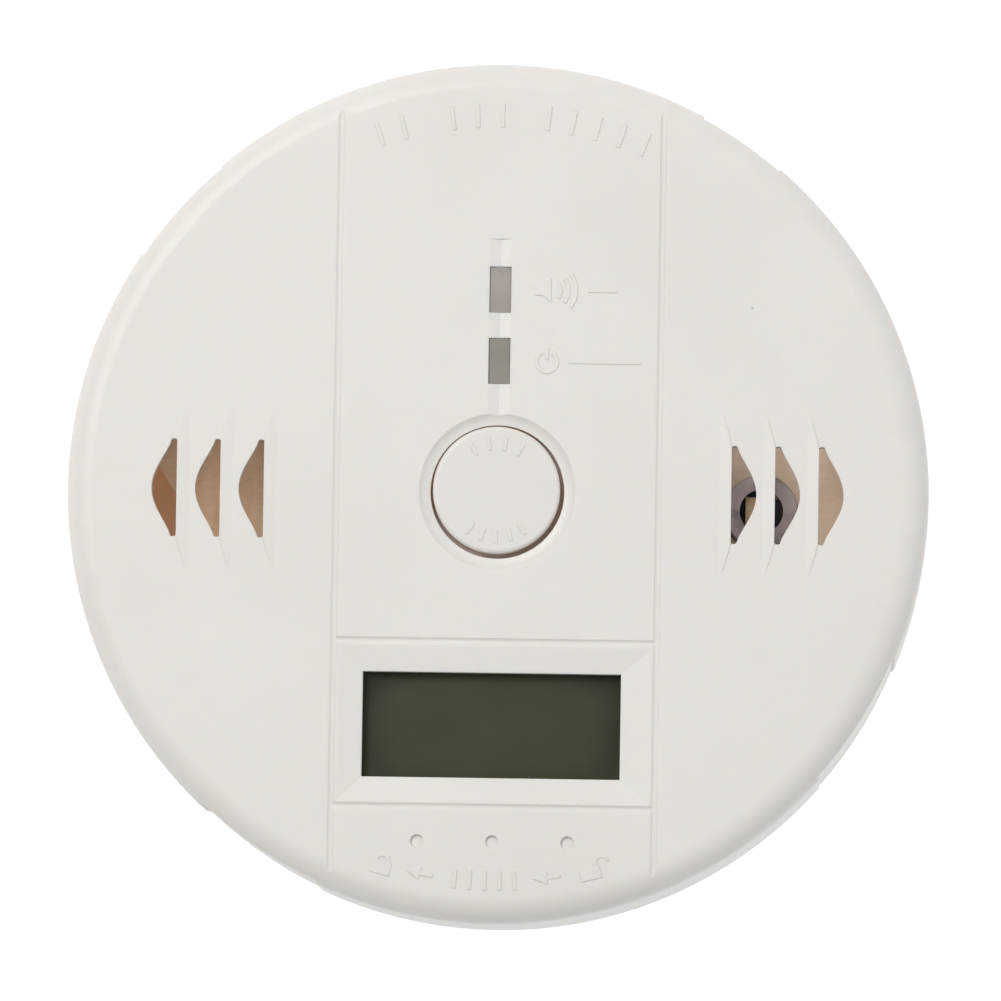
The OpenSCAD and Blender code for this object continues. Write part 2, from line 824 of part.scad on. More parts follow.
module test_button() {
    stem_low = plunger_top + touch_gap;
    color("ivory")
        translate([button_rest[0], button_rest[1], 0]) {
            difference() {
                rotate_extrude()
                    intersection() {
                        cap_section(button_r, cap_top, cap_round, flange_z0);
                        translate([0, flange_z0])
                            square([case_r, face_z]);
                    }
                translate([0, 0, flange_z0 - over])
                    cylinder(h = cap_top - cap_t - flange_z0 + over, r = button_r - skirt_t);
            }
            difference() {
                translate([0, 0, flange_z0])
                    cylinder(h = flange_t, r = hole_r + flange_reach);
                translate([0, 0, flange_z0 - over])
                    cylinder(h = flange_t + 2 * over, r = button_r - skirt_t);
            }
            translate([0, 0, stem_low])
                cylinder(h = cap_top - cap_t / 2 - stem_low, r = stem_r);
            for (a = [0, 90])
                rotate([0, 0, a])
                    block([-button_r + skirt_t / 2, -0.5, flange_z0 + 0.6],
                        [button_r - skirt_t / 2, 0.5, cap_top - cap_t / 2]);
            tick_row(5.4, 1.5, [120, 100, 80, 60], cap_top);
            tick_row(5.4, 1.5, [236, 253, 270, 287, 304], cap_top);
        }
}

module switch_body() {
    cavity_r = plunger_r + 0.6;
    color("dimgray")
    difference() {
        block([-switch_w / 2, -switch_w / 2, board_top],
            [switch_w / 2, switch_w / 2, board_top + switch_h]);
        translate([0, 0, board_top + 1.2])
            cylinder(h = switch_h, r = cavity_r);
    }
}

module switch_lid() {
    color("silver")
    difference() {
        block([-switch_w / 2, -switch_w / 2, board_top + switch_h],
            [switch_w / 2, switch_w / 2, switch_top]);
        translate([0, 0, board_top])
            cylinder(h = 2 * switch_h, r = plunger_r + 0.3);
    }
}

module switch_plunger() {
    foot_z = board_top + 1.2 + stroke + 0.3;
    color("black") {
        translate([0, 0, foot_z])
            cylinder(h = plunger_top - foot_z, r = plunger_r);
    }
}

module switch_legs() {
    color("silver")
        for (s = switch_lead_spots)
            upright(s, board_z - lead_stub, board_top + 1.4);
}

// ---- Circuit board ----

module board_hole(spot) {
    translate([spot[0], spot[1], board_z - over])
        cylinder(h = board_t + 2 * over, r = spot[2] + hole_clear, $fn = fine_fn);
}

module circuit_board() {
    color("tan")
    difference() {
        translate([0, 0, board_z])
            cylinder(h = board_t, r = board_r);
        rotate([0, 0, board_cut_angle])
            block([board_cut, -case_r, board_z - over], [case_r, case_r, board_top + over]);
        at_posts()
            translate([0, 0, board_z - over])
                cylinder(h = board_t + 2 * over, r = boss_out + boss_clear);
        for (s = concat(switch_lead_spots, led_lead_spots, sensor_lead_spots,
                sounder_lead_spots, lcd_lead_spots, part_lead_spots))
            board_hole(s);
        for (p = standoffs)
            board_hole([p[0], p[1], board_screw_r]);
    }
}

// ---- Indicators ----

module led_body(y) {
    top = face_z - led_sink;
    block([-led_w / 2 + led_clear, y - led_h / 2 + led_clear, top - led_body_h],
        [led_w / 2 - led_clear, y + led_h / 2 - led_clear, top]);
}

module alarm_led() {
    color("darkgray") led_body(alarm_y);
}

module operate_led() {
    color("gray") led_body(operate_y);
}

module led_leads() {
    color("silver")
        for (s = led_lead_spots)
            upright(s, board_z - lead_stub, face_z - led_sink - led_body_h);
}

// ---- Display ----

// Flat sheet centred on the display in X, from height y0 to y1 and z0 to z1.
module lcd_sheet(w, y0, y1, z0, z1) {
    block([-w / 2, y0, z0], [w / 2, y1, z1]);
}

module lcd_polariser() {
    color("darkolivegreen")
        lcd_sheet(glass_w - 1, lcd_top_y - pane_front_h + 0.5, lcd_top_y - 0.5,
            film_z, film_z + film_t);
}

module lcd_glass() {
    color("darkseagreen") {
        lcd_sheet(glass_w, lcd_top_y - pane_front_h, lcd_top_y, pane_z + pane_t, film_z);
        lcd_sheet(glass_w, lcd_low_y, lcd_top_y, pane_z, pane_z + pane_t);
    }
}

module lcd_reflector() {
    color("silver")
        lcd_sheet(glass_w - 1, lcd_low_y + 2.2, lcd_top_y - 0.5, reflector_z, pane_z);
}

module lcd_backlight() {
    color("white")
        lcd_sheet(glass_w - 0.6, lcd_low_y + 2.2, lcd_top_y - 0.2, backlight_z, reflector_z);
}

module lcd_holder() {
    x = glass_w / 2 + holder_clear;
    y = lcd_top_y + holder_clear;
    low = lcd_low_y + 0.8;
    color("whitesmoke") {
        block([-x - holder_t, low, holder_z], [x + holder_t, y + holder_t, backlight_z]);
        for (s = [-1, 1])
            block([min(s * x, s * (x + holder_t)), low, holder_z],
                [max(s * x, s * (x + holder_t)), y + holder_t, film_z - 0.4]);
        block([-x - holder_t, y, holder_z], [x + holder_t, y + holder_t, film_z - 0.4]);
        for (sx = [-1, 1], py = [low + 2, y - 1.5])
            upright([sx * (x - 1.5), py, 1.4], board_top, holder_z + 0.2);
    }
}

module lcd_pins() {
    color("silver")
        for (s = lcd_lead_spots) {
            x0 = s[0] - pin_w / 2;
            y0 = s[1] - pin_t / 2;
            block([x0, y0, board_z - lead_stub],
                [x0 + pin_w, y0 + pin_t, pane_z + pane_t + pin_t]);
            block([x0, y0, pane_z + pane_t], [x0 + pin_w, lcd_low_y + 1.2, pane_z + pane_t + pin_t]);
            block([x0, y0, pane_z - pin_t], [x0 + pin_w, lcd_low_y + 0.7, pane_z]);
        }
}

// ---- Gas sensor ----

sensor_z = board_top + sensor_lift;
sensor_top = sensor_z + sensor_base_t + sensor_h;

module at_sensor() {
    translate([sensor_pos[0], sensor_pos[1], 0])
        children();
}

module sensor_can() {
    inner_top = sensor_top - sensor_wall * 2;
    color("gray")
        at_sensor()
            difference() {
                rotate_extrude()
                    intersection() {
                        cap_section(sensor_d / 2, sensor_top, 0.12, sensor_z + sensor_base_t);
                        translate([0, sensor_z + sensor_base_t])
                            square([sensor_d, sensor_h + 1]);
                    }
                translate([0, 0, sensor_z])
                    cylinder(h = inner_top - sensor_z, r = sensor_d / 2 - sensor_wall);
                translate([0, 0, sensor_z])
                    cylinder(h = sensor_h + 2 * over, r = sensor_hole_r);
            }
}

module sensor_base() {
    color("gray")
        at_sensor()
            difference() {
                translate([0, 0, sensor_z])
                    cylinder(h = sensor_base_t, r = sensor_d / 2 + sensor_flange);
                for (a = [45 : 90 : 315])
                    rotate([0, 0, a])
                        translate([2.54, 0, sensor_z - over])
                            cylinder(h = sensor_base_t + 2 * over, r = sensor_pin_r + 0.05,
                                $fn = fine_fn);
            }
}

// Sensing plate that hangs between the four pins, with its heater strip.
module sensor_element() {
    z = sensor_top - 1.7;
    color("goldenrod")
        at_sensor() {
            block([-1.85, -1.7, z], [0.4, 1.7, z + 0.4]);
            for (s = [-1, 1])
                block([-0.9, s * 1.1 - 0.2, sensor_z + sensor_base_t], [-0.5, s * 1.1 + 0.2, z]);
        }
}

module sensor_leads() {
    color("gold")
        for (s = sensor_lead_spots)
            upright(s, board_z - lead_stub, sensor_z + sensor_base_t + 2.4);
}

// ---- Sounder ----

sounder_z = board_top + sounder_lift;

module at_sounder() {
    translate([sounder_pos[0], sounder_pos[1], 0])
        children();
}

module sounder_case() {
    r = sounder_d / 2;
    low = sounder_z + sounder_base_t;
    color("black")
        at_sounder()
            difference() {
                union() {
                    translate([0, 0, low])
                        cylinder(h = sounder_h - sounder_base_t, r = r);
                }
                translate([0, 0, disc_z - 0.3])
                    cylinder(h = sounder_z + sounder_h - 1.2 - disc_z, r = r - sounder_wall - ledge_t);
                translate([0, 0, low - over])
                    cylinder(h = disc_z + 0.3 - low + over, r = r - sounder_wall);
                translate([0, 0, low])
                    cylinder(h = sounder_h, r = sounder_port_r);
            }
}

module sounder_base() {
    color("black")
        at_sounder()
            difference() {
                translate([0, 0, sounder_z])
                    cylinder(h = sounder_base_t, r = sounder_d / 2);
                for (s = [-1, 1])
                    translate([s * 5, 0, sounder_z - over])
                        cylinder(h = sounder_base_t + 2 * over, r = 0.45, $fn = fine_fn);
            }
}

module piezo_disc() {
    color("gold")
        at_sounder()
            translate([0, 0, disc_z])
                cylinder(h = 0.25, r = disc_r);
}

module piezo_ceramic() {
    color("beige")
        at_sounder()
            translate([0, 0, disc_z - 0.25])
                cylinder(h = 0.25, r = disc_r * 0.72);
}

module sounder_pins() {
    color("silver")
        for (s = sounder_lead_spots)
            upright(s, board_z - lead_stub, disc_z - 0.25);
}

// ---- Small parts on the board ----

module microcontroller() {
    color("black")
    difference() {
        block([chip_pos[0] - chip_l / 2, chip_pos[1] - chip_w / 2, board_top + 0.2],
            [chip_pos[0] + chip_l / 2, chip_pos[1] + chip_w / 2, board_top + chip_h]);
        translate([chip_pos[0] - chip_l / 2, chip_pos[1], board_top + chip_h - 0.4])
            cylinder(h = over, r = 1, $fn = fine_fn);
    }
}

module microcontroller_legs() {
    color("silver")
        for (i = [0 : chip_legs - 1], s = [0, 1])
            translate([chip_pos[0] + (i - (chip_legs - 1) / 2) * chip_pitch, chip_pos[1], 0])
                rotate([0, 0, 180 * s])
                    translate([-0.2, chip_w / 2, board_top])
                        rotate([90, 0, 90])
                            linear_extrude(0.4)
                                polygon([[0, 1], [0.5, 1], [0.9, 0], [1.6, 0], [1.6, 0.25],
                                    [1.1, 0.25], [0.7, 1.25], [0, 1.25]]);
}

module capacitors() {
    color("darkslateblue")
        for (c = capacitor_list)
            translate([c[0], c[1], board_top + 0.3])
                difference() {
                    cylinder(h = c[3], r = c[2]);
                    translate([0, 0, 1])
                        rotate_extrude()
                            translate([c[2] + 0.3, 0])
                                circle(r = 0.5, $fn = fine_fn);
                }
}

module inductor() {
    color("saddlebrown")
        translate([inductor_pos[0], inductor_pos[1], board_top + 0.2]) {
            cylinder(h = 1.2, r = 3.9);
            cylinder(h = 7.6, r = 3.1);
            translate([0, 0, 6.4])
                cylinder(h = 1.2, r = 3.9);
        }
}

module transistor() {
    color("black")
        translate([transistor_pos[0], transistor_pos[1], board_top + 2])
            difference() {
                cylinder(h = 4.6, r = 2.3);
                block([-3, -3.3, -over], [3, -1.3, 4.6 + over]);
            }
}

module crystal() {
    half = 3.3;
    color("silver")
        translate([crystal_pos[0], crystal_pos[1], board_top + 0.2]) {
            for (s = [-1, 1])
                translate([s * half, 0, 0])
                    cylinder(h = 3.4, r = 1.9);
            block([-half, -1.9, 0], [half, 1.9, 3.4]);
        }
}

module resistors() {
    color("dimgray")
        for (p = resistor_list)
            translate([p[0], p[1], board_top])
                block([-1, -0.6, 0], [1, 0.6, 0.5]);
}

module component_leads() {
    color("silver") {
        for (s = capacitor_lead_spots)
            upright(s, board_z - lead_stub, board_top + 0.3);
        for (s = inductor_lead_spots)
            upright(s, board_z - lead_stub, board_top + 0.2);
        for (s = transistor_lead_spots)
            upright(s, board_z - lead_stub, board_top + 2);
        for (s = crystal_lead_spots)
            upright(s, board_z - lead_stub, board_top + 0.2);
    }
}

// ---- Cells, contacts and battery wires ----

// One cell lying along Y; turn = 1 puts its cap at +Y.
module cell(i) {
    tip = well_half - contact_t - dimple_h;
    r = cell_d / 2 - wrapper_t;
    translate([(i - 1) * cell_pitch, 0, cell_z])
        rotate([cell_turn[i] > 0 ? -90 : 90, 0, 0])
            translate([0, 0, tip - cell_l]) {
                cylinder(h = cell_l - cap_l, r = r);
                cylinder(h = cell_l, r = cap_r);
            }
}

module battery_1() {
    color("silver") cell(0);
}

module battery_2() {
    color("silver") cell(1);
}

module battery_3() {
    color("silver") cell(2);
}

module battery_wrappers() {
    tip = well_half - contact_t - dimple_h;
    color("darkorange")
        for (i = [0 : 2])
            translate([(i - 1) * cell_pitch, 0, cell_z])
                rotate([cell_turn[i] > 0 ? -90 : 90, 0, 0])
                    translate([0, 0, tip - cell_l + 0.5])
                        difference() {
                            cylinder(h = cell_l - cap_l - 1, r = cell_d / 2);
                            translate([0, 0, -over])
                                cylinder(h = cell_l + over, r = cell_d / 2 - wrapper_t + 0.02);
                        }
}

// Contact plate at the end s of the wells, from x0 to x1.
module contact_plate(x0, x1, s) {
    block([x0, min(s * well_half, s * (well_half - contact_t)), contact_low],
        [x1, max(s * well_half, s * (well_half - contact_t)), contact_high]);
}

module contact_dimple(x, s) {
    translate([x, s * (well_half - contact_t), cell_z])
        rotate([s * 90, 0, 0])
            cylinder(h = dimple_h, r1 = 2.4, r2 = 1.6);
}

module solder_tab(x, s) {
    block([x - tab_w / 2, min(s * tab_end, s * (well_half - contact_t)), tab_z],
        [x + tab_w / 2, max(s * tab_end, s * (well_half - contact_t)), tab_z + contact_t]);
}

module contact_plus() {
    color("silver") {
        contact_plate(cell_pitch - contact_w / 2, cell_pitch + contact_w / 2, 1);
        contact_dimple(cell_pitch, 1);
        solder_tab(cell_pitch, 1);
    }
}

module contact_minus() {
    color("silver") {
        contact_plate(-cell_pitch - contact_w / 2, -cell_pitch + contact_w / 2, -1);
        solder_tab(-cell_pitch, -1);
    }
}

module contact_links() {
    color("silver") {
        contact_plate(-cell_pitch - contact_w / 2, contact_w / 2, 1);
        contact_dimple(-cell_pitch, 1);
        contact_plate(-contact_w / 2, cell_pitch + contact_w / 2, -1);
        contact_dimple(0, -1);
    }
}

// Conical coil spring of round wire, from its plate at the end s of the wells to the cell.
module coil(x, s) {
    steps = 14;
    n = round(spring_turns * steps);
    y0 = well_half - contact_t - spring_wire_r - 0.02;
    rise = spring_l - 2 * spring_wire_r - 0.04;
    path = [for (i = [0 : n])
        let (f = i / n, a = 360 * spring_turns * f, r = spring_wide + (spring_narrow - spring_wide) * f)
        [x + r * cos(a), s * (y0 - rise * f), cell_z + r * sin(a)]];
    sweep(path, spring_wire_r, [0, 1, 0]);
}

module contact_springs() {
    color("silver") {
        coil(0, 1);
        coil(-cell_pitch, -1);
        coil(cell_pitch, -1);
    }
}

module wire_plus() {
    color("red") sweep(smooth(route_plus, 5), wire_r, [0, 0, 1]);
}

module wire_minus() {
    color("black") sweep(smooth(route_minus, 5), wire_r, [0, 0, 1]);
}

mounting_plate();
back_case();
front_cover();
cover_screws();
test_button();
switch_body();
switch_lid();
switch_plunger();
switch_legs();
circuit_board();
board_screws();
alarm_led();
operate_led();
led_leads();
lcd_polariser();
lcd_glass();
lcd_reflector();
lcd_backlight();
lcd_holder();
lcd_pins();
sensor_can();
sensor_base();
sensor_element();
sensor_leads();
sounder_case();
sounder_base();
piezo_disc();
piezo_ceramic();
sounder_pins();
microcontroller();
microcontroller_legs();
capacitors();
inductor();
transistor();
crystal();
resistors();
component_leads();
battery_1();
battery_2();
battery_3();
battery_wrappers();
contact_plus();
contact_minus();
contact_links();
contact_springs();
wire_plus();
wire_minus();
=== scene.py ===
"""Looks of a round carbon monoxide detector, built around its packed mechanical model.

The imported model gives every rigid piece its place. This script dresses those pieces, builds the
finer ones again (screws, cells, springs, solder, resistors), and sets the stage.
Everything is in metres, in the model's own frame: +Z out of the front face and +Y up the wall.
"""

from __future__ import annotations

import logging
import math
from dataclasses import dataclass
from enum import Enum
from typing import Iterable, Sequence, Union

import bpy
import bmesh
from mathutils import Matrix, Vector

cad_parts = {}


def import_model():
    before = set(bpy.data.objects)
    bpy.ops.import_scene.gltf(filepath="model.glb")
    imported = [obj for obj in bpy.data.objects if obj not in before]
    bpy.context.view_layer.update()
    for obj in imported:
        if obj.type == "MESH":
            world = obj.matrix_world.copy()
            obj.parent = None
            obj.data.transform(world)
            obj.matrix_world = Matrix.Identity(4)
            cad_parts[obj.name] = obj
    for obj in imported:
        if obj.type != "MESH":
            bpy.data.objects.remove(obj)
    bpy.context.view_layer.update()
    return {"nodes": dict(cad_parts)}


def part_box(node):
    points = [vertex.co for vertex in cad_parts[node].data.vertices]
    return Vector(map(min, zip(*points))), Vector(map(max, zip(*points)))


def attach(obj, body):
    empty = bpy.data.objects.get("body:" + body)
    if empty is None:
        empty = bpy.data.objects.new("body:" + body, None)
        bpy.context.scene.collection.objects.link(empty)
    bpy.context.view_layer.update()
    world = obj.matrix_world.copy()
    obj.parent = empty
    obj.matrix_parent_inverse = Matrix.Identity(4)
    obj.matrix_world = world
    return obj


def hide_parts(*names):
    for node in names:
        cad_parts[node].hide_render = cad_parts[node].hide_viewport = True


log = logging.getLogger("detector")

MM = 0.001
SEED = 7
Colour = tuple[float, float, float]
Point = tuple[float, float, float]
Settings = dict[str, object]
Inputs = dict[Union[str, int], object]


# ---- Shader expressions ----


class Value:
    """A shader socket that takes part in Python arithmetic."""

    def __init__(self, shader: "Shader", socket: bpy.types.NodeSocket) -> None:
        """Wraps one output socket of a shader."""
        self.shader = shader
        self.socket = socket

    def __add__(self, other: "Number") -> "Value":
        """Sum of two values."""
        return self.shader.math("ADD", self, other)

    def __radd__(self, other: "Number") -> "Value":
        """Sum with a plain number on the left."""
        return self.shader.math("ADD", other, self)

    def __sub__(self, other: "Number") -> "Value":
        """Difference of two values."""
        return self.shader.math("SUBTRACT", self, other)

    def __rsub__(self, other: "Number") -> "Value":
        """Difference with a plain number on the left."""
        return self.shader.math("SUBTRACT", other, self)

    def __mul__(self, other: "Number") -> "Value":
        """Product of two values."""
        return self.shader.math("MULTIPLY", self, other)

    def __rmul__(self, other: "Number") -> "Value":
        """Product with a plain number on the left."""
        return self.shader.math("MULTIPLY", other, self)

    def power(self, exponent: float) -> "Value":
        """This value raised to an exponent."""
        return self.shader.math("POWER", self, exponent)

    def step(self, low: float, high: float) -> "Value":
        """Smooth step.

        Args:
            low: the value at which it is 0.
            high: the value at which it is 1.

        Returns:
            The stepped value.
        """
        inputs = {"Value": self, "From Min": low, "From Max": high}
        return self.shader.value(
            "ShaderNodeMapRange", "Result", inputs, interpolation_type="SMOOTHSTEP"
        )


Number = Union[float, Value]
Tint = Union[Colour, Value]


class Graph:
    """A node tree under construction."""

    tree: bpy.types.NodeTree

    def node(self, kind: str, settings: Settings | None = None,
             inputs: Inputs | None = None) -> bpy.types.Node:
        """Adds a node.

        Args:
            kind: the node's type name.
            settings: its properties, which are set first.
            inputs: values or links of its sockets, by name or number.

        Returns:
            The new node.
        """
        made = self.tree.nodes.new(kind)
        for key, value in (settings or {}).items():
            setattr(made, key, value)
        for key, value in (inputs or {}).items():
            socket = made.inputs[key]
            if isinstance(value, Value):
                self.tree.links.new(value.socket, socket)
            elif isinstance(value, bpy.types.NodeSocket):
                self.tree.links.new(value, socket)
            elif socket.type == "RGBA":
                socket.default_value = (*value, 1.0)
            else:
                socket.default_value = value
        return made


class Shader(Graph):
    """One material under construction."""

    def __init__(self, name: str) -> None:
        """Starts an empty node material.

        Args:
            name: the material's name.
        """
        self.material = bpy.data.materials.new(name)
        self.material.use_nodes = True
        self.tree = self.material.node_tree
        self.tree.nodes.clear()
        self.output = self.tree.nodes.new("ShaderNodeOutputMaterial")

    def value(self, kind: str, output: Union[str, int], inputs: Inputs | None = None,
              **settings: object) -> Value:
        """One output of a new node, by name or number."""
        return Value(self, self.node(kind, settings, inputs).outputs[output])

    def math(self, operation: str, a: Number, b: Number) -> Value:
        """Result of a Math node."""
        return self.value("ShaderNodeMath", 0, {0: a, 1: b}, operation=operation)

    def mix(self, a: Tint, b: Tint, share: Number) -> Value:
        """Colour between a and b; share is 0 at a and 1 at b."""
        inputs = {0: share, 6: a, 7: b}
        return self.value("ShaderNodeMix", 2, inputs, data_type="RGBA", clamp_factor=True)

    def place(self, centre: Point = (0, 0, 0), scale: Point = (1, 1, 1)) -> Value:
        """Object coordinates.

        Args:
            centre: the point that they are counted from.
            scale: a factor along each axis.

        Returns:
            The coordinates.
        """
        own = self.value("ShaderNodeTexCoord", "Object")
        offset = tuple(-c * s for c, s in zip(centre, scale))
        inputs = {"Vector": own, "Location": offset, "Scale": scale}
        return self.value("ShaderNodeMapping", "Vector", inputs)

    def axis(self, place: Value, name: str) -> Value:
        """One coordinate of a place."""
        return self.value("ShaderNodeSeparateXYZ", name, {"Vector": place})

    def distance(self, place: Value) -> Value:
        """Distance of a place from its centre."""
        return self.value("ShaderNodeVectorMath", "Value", {0: place}, operation="LENGTH")

    def noise(self, place: Value, grain: float, detail: float = 3.0, rough: float = 0.55) -> Value:
        """Noise with features about grain metres across."""
        inputs = {"Vector": place, "Scale": 1 / grain, "Detail": detail, "Roughness": rough}
        return self.value("ShaderNodeTexNoise", "Fac", inputs)

    def cells(self, place: Value, grain: float) -> Value:
        """Distance to the nearest of scattered points, in cells about grain metres across."""
        return self.value("ShaderNodeTexVoronoi", "Distance", {"Vector": place, "Scale": 1 / grain})

    def specks(self, place: Value, spacing: float, sizes: tuple[float, float]) -> Value:
        """Mask of scattered specks; sizes are shares of the spacing, of the core and the whole."""
        return 1.0 - self.cells(place, spacing).step(*sizes)

    def rounded(self, radius: float) -> Value:
        """Surface direction with the edges rounded to a radius."""
        return self.value("ShaderNodeBevel", "Normal", {"Radius": radius}, samples=6)

    def edges(self, rounded: Value) -> Value:
        """Mask of the edges.

        Args:
            rounded: surface direction with rounded edges.

        Returns:
            1 on edges and 0 on flat or gently curved surface.
        """
        both = {0: rounded, 1: self.value("ShaderNodeNewGeometry", "Normal")}
        along = self.value("ShaderNodeVectorMath", "Value", both, operation="DOT_PRODUCT")
        return (1.0 - along).step(0.01, 0.25)

    def bump(self, height: Value, depth: float, base: Value | None = None) -> Value:
        """Surface direction after a height pattern of the given depth in metres."""
        inputs: Inputs = {"Height": height, "Distance": depth, "Strength": 1.0}
        return self.value("ShaderNodeBump", "Normal", inputs | ({"Normal": base} if base else {}))

    def finish(self, **sockets: object) -> bpy.types.Material:
        """Closes the material with one Principled shader.

        Args:
            **sockets: the shader's sockets, with underscores for spaces.

        Returns:
            The finished material.
        """
        named = {
            key.replace("_", " ").title().replace("Ior", "IOR"): value
            for key, value in sockets.items()
        }
        made = self.node("ShaderNodeBsdfPrincipled", {}, named)
        self.tree.links.new(made.outputs[0], self.output.inputs["Surface"])
        return self.material

    def open_behind(self) -> None:
        """Makes the back side of a finished material clear."""
        front = Value(self, self.output.inputs["Surface"].links[0].from_socket)
        side = self.value("ShaderNodeNewGeometry", "Backfacing")
        clear = self.value("ShaderNodeBsdfTransparent", 0)
        both = self.value("ShaderNodeMixShader", 0, {0: side, 1: front, 2: clear})
        self.tree.links.new(both.socket, self.output.inputs["Surface"])


# ---- Finishes ----


@dataclass(frozen=True)
class Look:
    """What every finish has: a name and a main colour."""

    name: str
    colour: Colour

    def tinted(self, *factors: float) -> Colour:
        """The main colour times one factor, or one for each channel."""
        shares = factors * 3 if len(factors) == 1 else factors
        return tuple(min(1.0, c * share) for c, share in zip(self.colour, shares))

    def build(self) -> bpy.types.Material:
        """Makes the material."""
        raise NotImplementedError

    def material(self) -> bpy.types.Material:
        """The finish's material, made once."""
        return bpy.data.materials.get(self.name) or self.build()


@dataclass(frozen=True)
class MouldedPlastic(Look):
    """Injection-moulded plastic with a fine spark-eroded texture, soft edges with a painted
    highlight, and an optional painted glow.
    """

    shade: Colour
    roughness: float = 0.46
    texture_grain: float = 0.22 * MM
    texture_depth: float = 0.006 * MM
    edge_radius: float = 0.14 * MM
    speck: float = 0.0
    coat: float = 0.0
    depth: float = 0.0
    # Painted glow: emission colour given to a band of the plastic, which is no lamp.
    glow: Colour | None = None
    glow_heights: tuple[float, float] = (0.0, 0.0)
    glow_within: float = 1.0
    glow_fade: float = 0.4 * MM
    cloud_grain: float = 26 * MM
    flow_grain: float = 3.5 * MM
    speck_spacing: float = 9 * MM
    speck_sizes: tuple[float, float] = (0.008, 0.022)
    speck_colour: Colour = (0.30, 0.26, 0.22)
    # Tint of the painted highlight on the edges.
    edge_highlight_tint: Colour = (1.12, 1.07, 0.98)
    scatter: Colour = (1.0, 0.72, 0.5)
    scatter_reach: float = 1.1 * MM

    def build(self) -> bpy.types.Material:
        """Makes the material.

        Returns:
            The finished material.
        """
        s = Shader(self.name)
        place = s.place()
        cloud = s.noise(place, self.cloud_grain, 2.0)
        fine = s.noise(place, self.texture_grain, 4.0, 0.7)
        flow = s.noise(place, self.flow_grain, 3.0)
        soft = s.rounded(self.edge_radius)
        edge = s.edges(soft)
        colour = s.mix(self.colour, self.shade, cloud.step(0.3, 0.75) * 0.8)
        colour = s.mix(colour, self.shade, flow.step(0.45, 0.8) * 0.35)
        # Painted highlight: edges are mixed halfway towards a lighter, warmer tone.
        colour = s.mix(colour, self.tinted(*self.edge_highlight_tint), edge * 0.5)
        if self.speck > 0:
            mask = s.specks(place, self.speck_spacing, self.speck_sizes)
            colour = s.mix(colour, self.speck_colour, mask * self.speck)
        rough = self.roughness + (fine - 0.5) * 0.12 + (flow - 0.5) * 0.08 - edge * 0.08
        height = fine + flow * 0.6
        inputs: dict[str, object] = {
            "base_color": colour,
            "roughness": rough,
            "normal": s.bump(height, self.texture_depth, soft),
            "coat_weight": self.coat,
            "subsurface_weight": self.depth,
            "subsurface_radius": self.scatter,
            "subsurface_scale": self.scatter_reach,
        }
        if self.glow:
            inputs["emission_color"] = self.light(s, place, flow)
            inputs["emission_strength"] = 1.0
        return s.finish(**inputs)

    def light(self, s: Shader, place: Value, cloud: Value) -> Value:
        """Painted glow: emission that stands in for light coming through the thin wall, between two
        heights and near the axis.

        Args:
            s: the shader being built.
            place: the surface's own coordinates.
            cloud: soft noise that makes the light uneven.

        Returns:
            The painted glow's colour, black where there is none.
        """
        height = s.axis(place, "Z")
        low, high = self.glow_heights
        fade = self.glow_fade
        band = height.step(low - fade, low) * (1.0 - height.step(high - fade, high))
        around = s.distance(s.place(scale=(1, 1, 0)))
        near = 1.0 - around.step(self.glow_within, self.glow_within + 0.3 * MM)
        return s.mix((0.0, 0.0, 0.0), self.glow, band * near * (cloud * 0.4 + 0.8))


@dataclass(frozen=True)
class PlatedMetal(Look):
    """Plated metal with drawn lines, dull patches and a painted highlight on the edges."""

    tarnish: Colour
    roughness: float = 0.32
    stretch: Point = (1, 1, 1)
    tarnish_share: float = 0.5
    edge_radius: float = 0.05 * MM
    metallic: float = 1.0
    line_grain: float = 0.25 * MM
    line_depth: float = 0.004 * MM
    patch_grain: float = 2.2 * MM

    def build(self) -> bpy.types.Material:
        """Makes the material.

        Returns:
            The finished material.
        """
        s = Shader(self.name)
        place = s.place()
        lines = s.noise(s.place(scale=self.stretch), self.line_grain, 3.0, 0.6)
        patch = s.noise(place, self.patch_grain, 4.0, 0.6)
        soft = s.rounded(self.edge_radius)
        edge = s.edges(soft)
        colour = s.mix(self.colour, self.tarnish, patch.step(0.4, 0.7) * self.tarnish_share)
        # Painted highlight: edges are lighter.
        colour = s.mix(colour, self.tinted(1.15), edge * 0.6)
        rough = self.roughness + (patch - 0.5) * 0.22 + (lines - 0.5) * 0.15
        return s.finish(
            base_color=colour,
            metallic=self.metallic,
            roughness=rough,
            normal=s.bump(lines, self.line_depth, soft),
        )


@dataclass(frozen=True)
class PaperBoard(Look):
    """Phenolic paper board: tan, with fibres, resin specks and a ghost of the copper below."""

    fibre: Colour
    ghost: Colour
    along_grain: float = 0.5 * MM
    across_grain: float = 0.6 * MM
    resin_spacing: float = 0.7 * MM
    copper_grain: float = 7 * MM

    def build(self) -> bpy.types.Material:
        """Makes the material.

        Returns:
            The finished material.
        """
        s = Shader(self.name)
        along = s.noise(s.place(scale=(0.25, 1, 1)), self.along_grain, 5.0, 0.7)
        across = s.noise(s.place(scale=(1, 0.3, 1)), self.across_grain, 4.0, 0.65)
        resin = s.specks(s.place(), self.resin_spacing, (0.05, 0.22))
        copper = s.noise(s.place(scale=(1, 0.45, 1)), self.copper_grain, 1.0).step(0.52, 0.56)
        colour = s.mix(self.colour, self.fibre, along.step(0.35, 0.7) * 0.7)
        colour = s.mix(colour, self.ghost, copper * 0.35)
        colour = s.mix(colour, self.ghost, resin * across * 0.5)
        rough = 0.42 + (along - 0.5) * 0.2
        return s.finish(
            base_color=colour, roughness=rough, normal=s.bump(along + across, 0.01 * MM)
        )


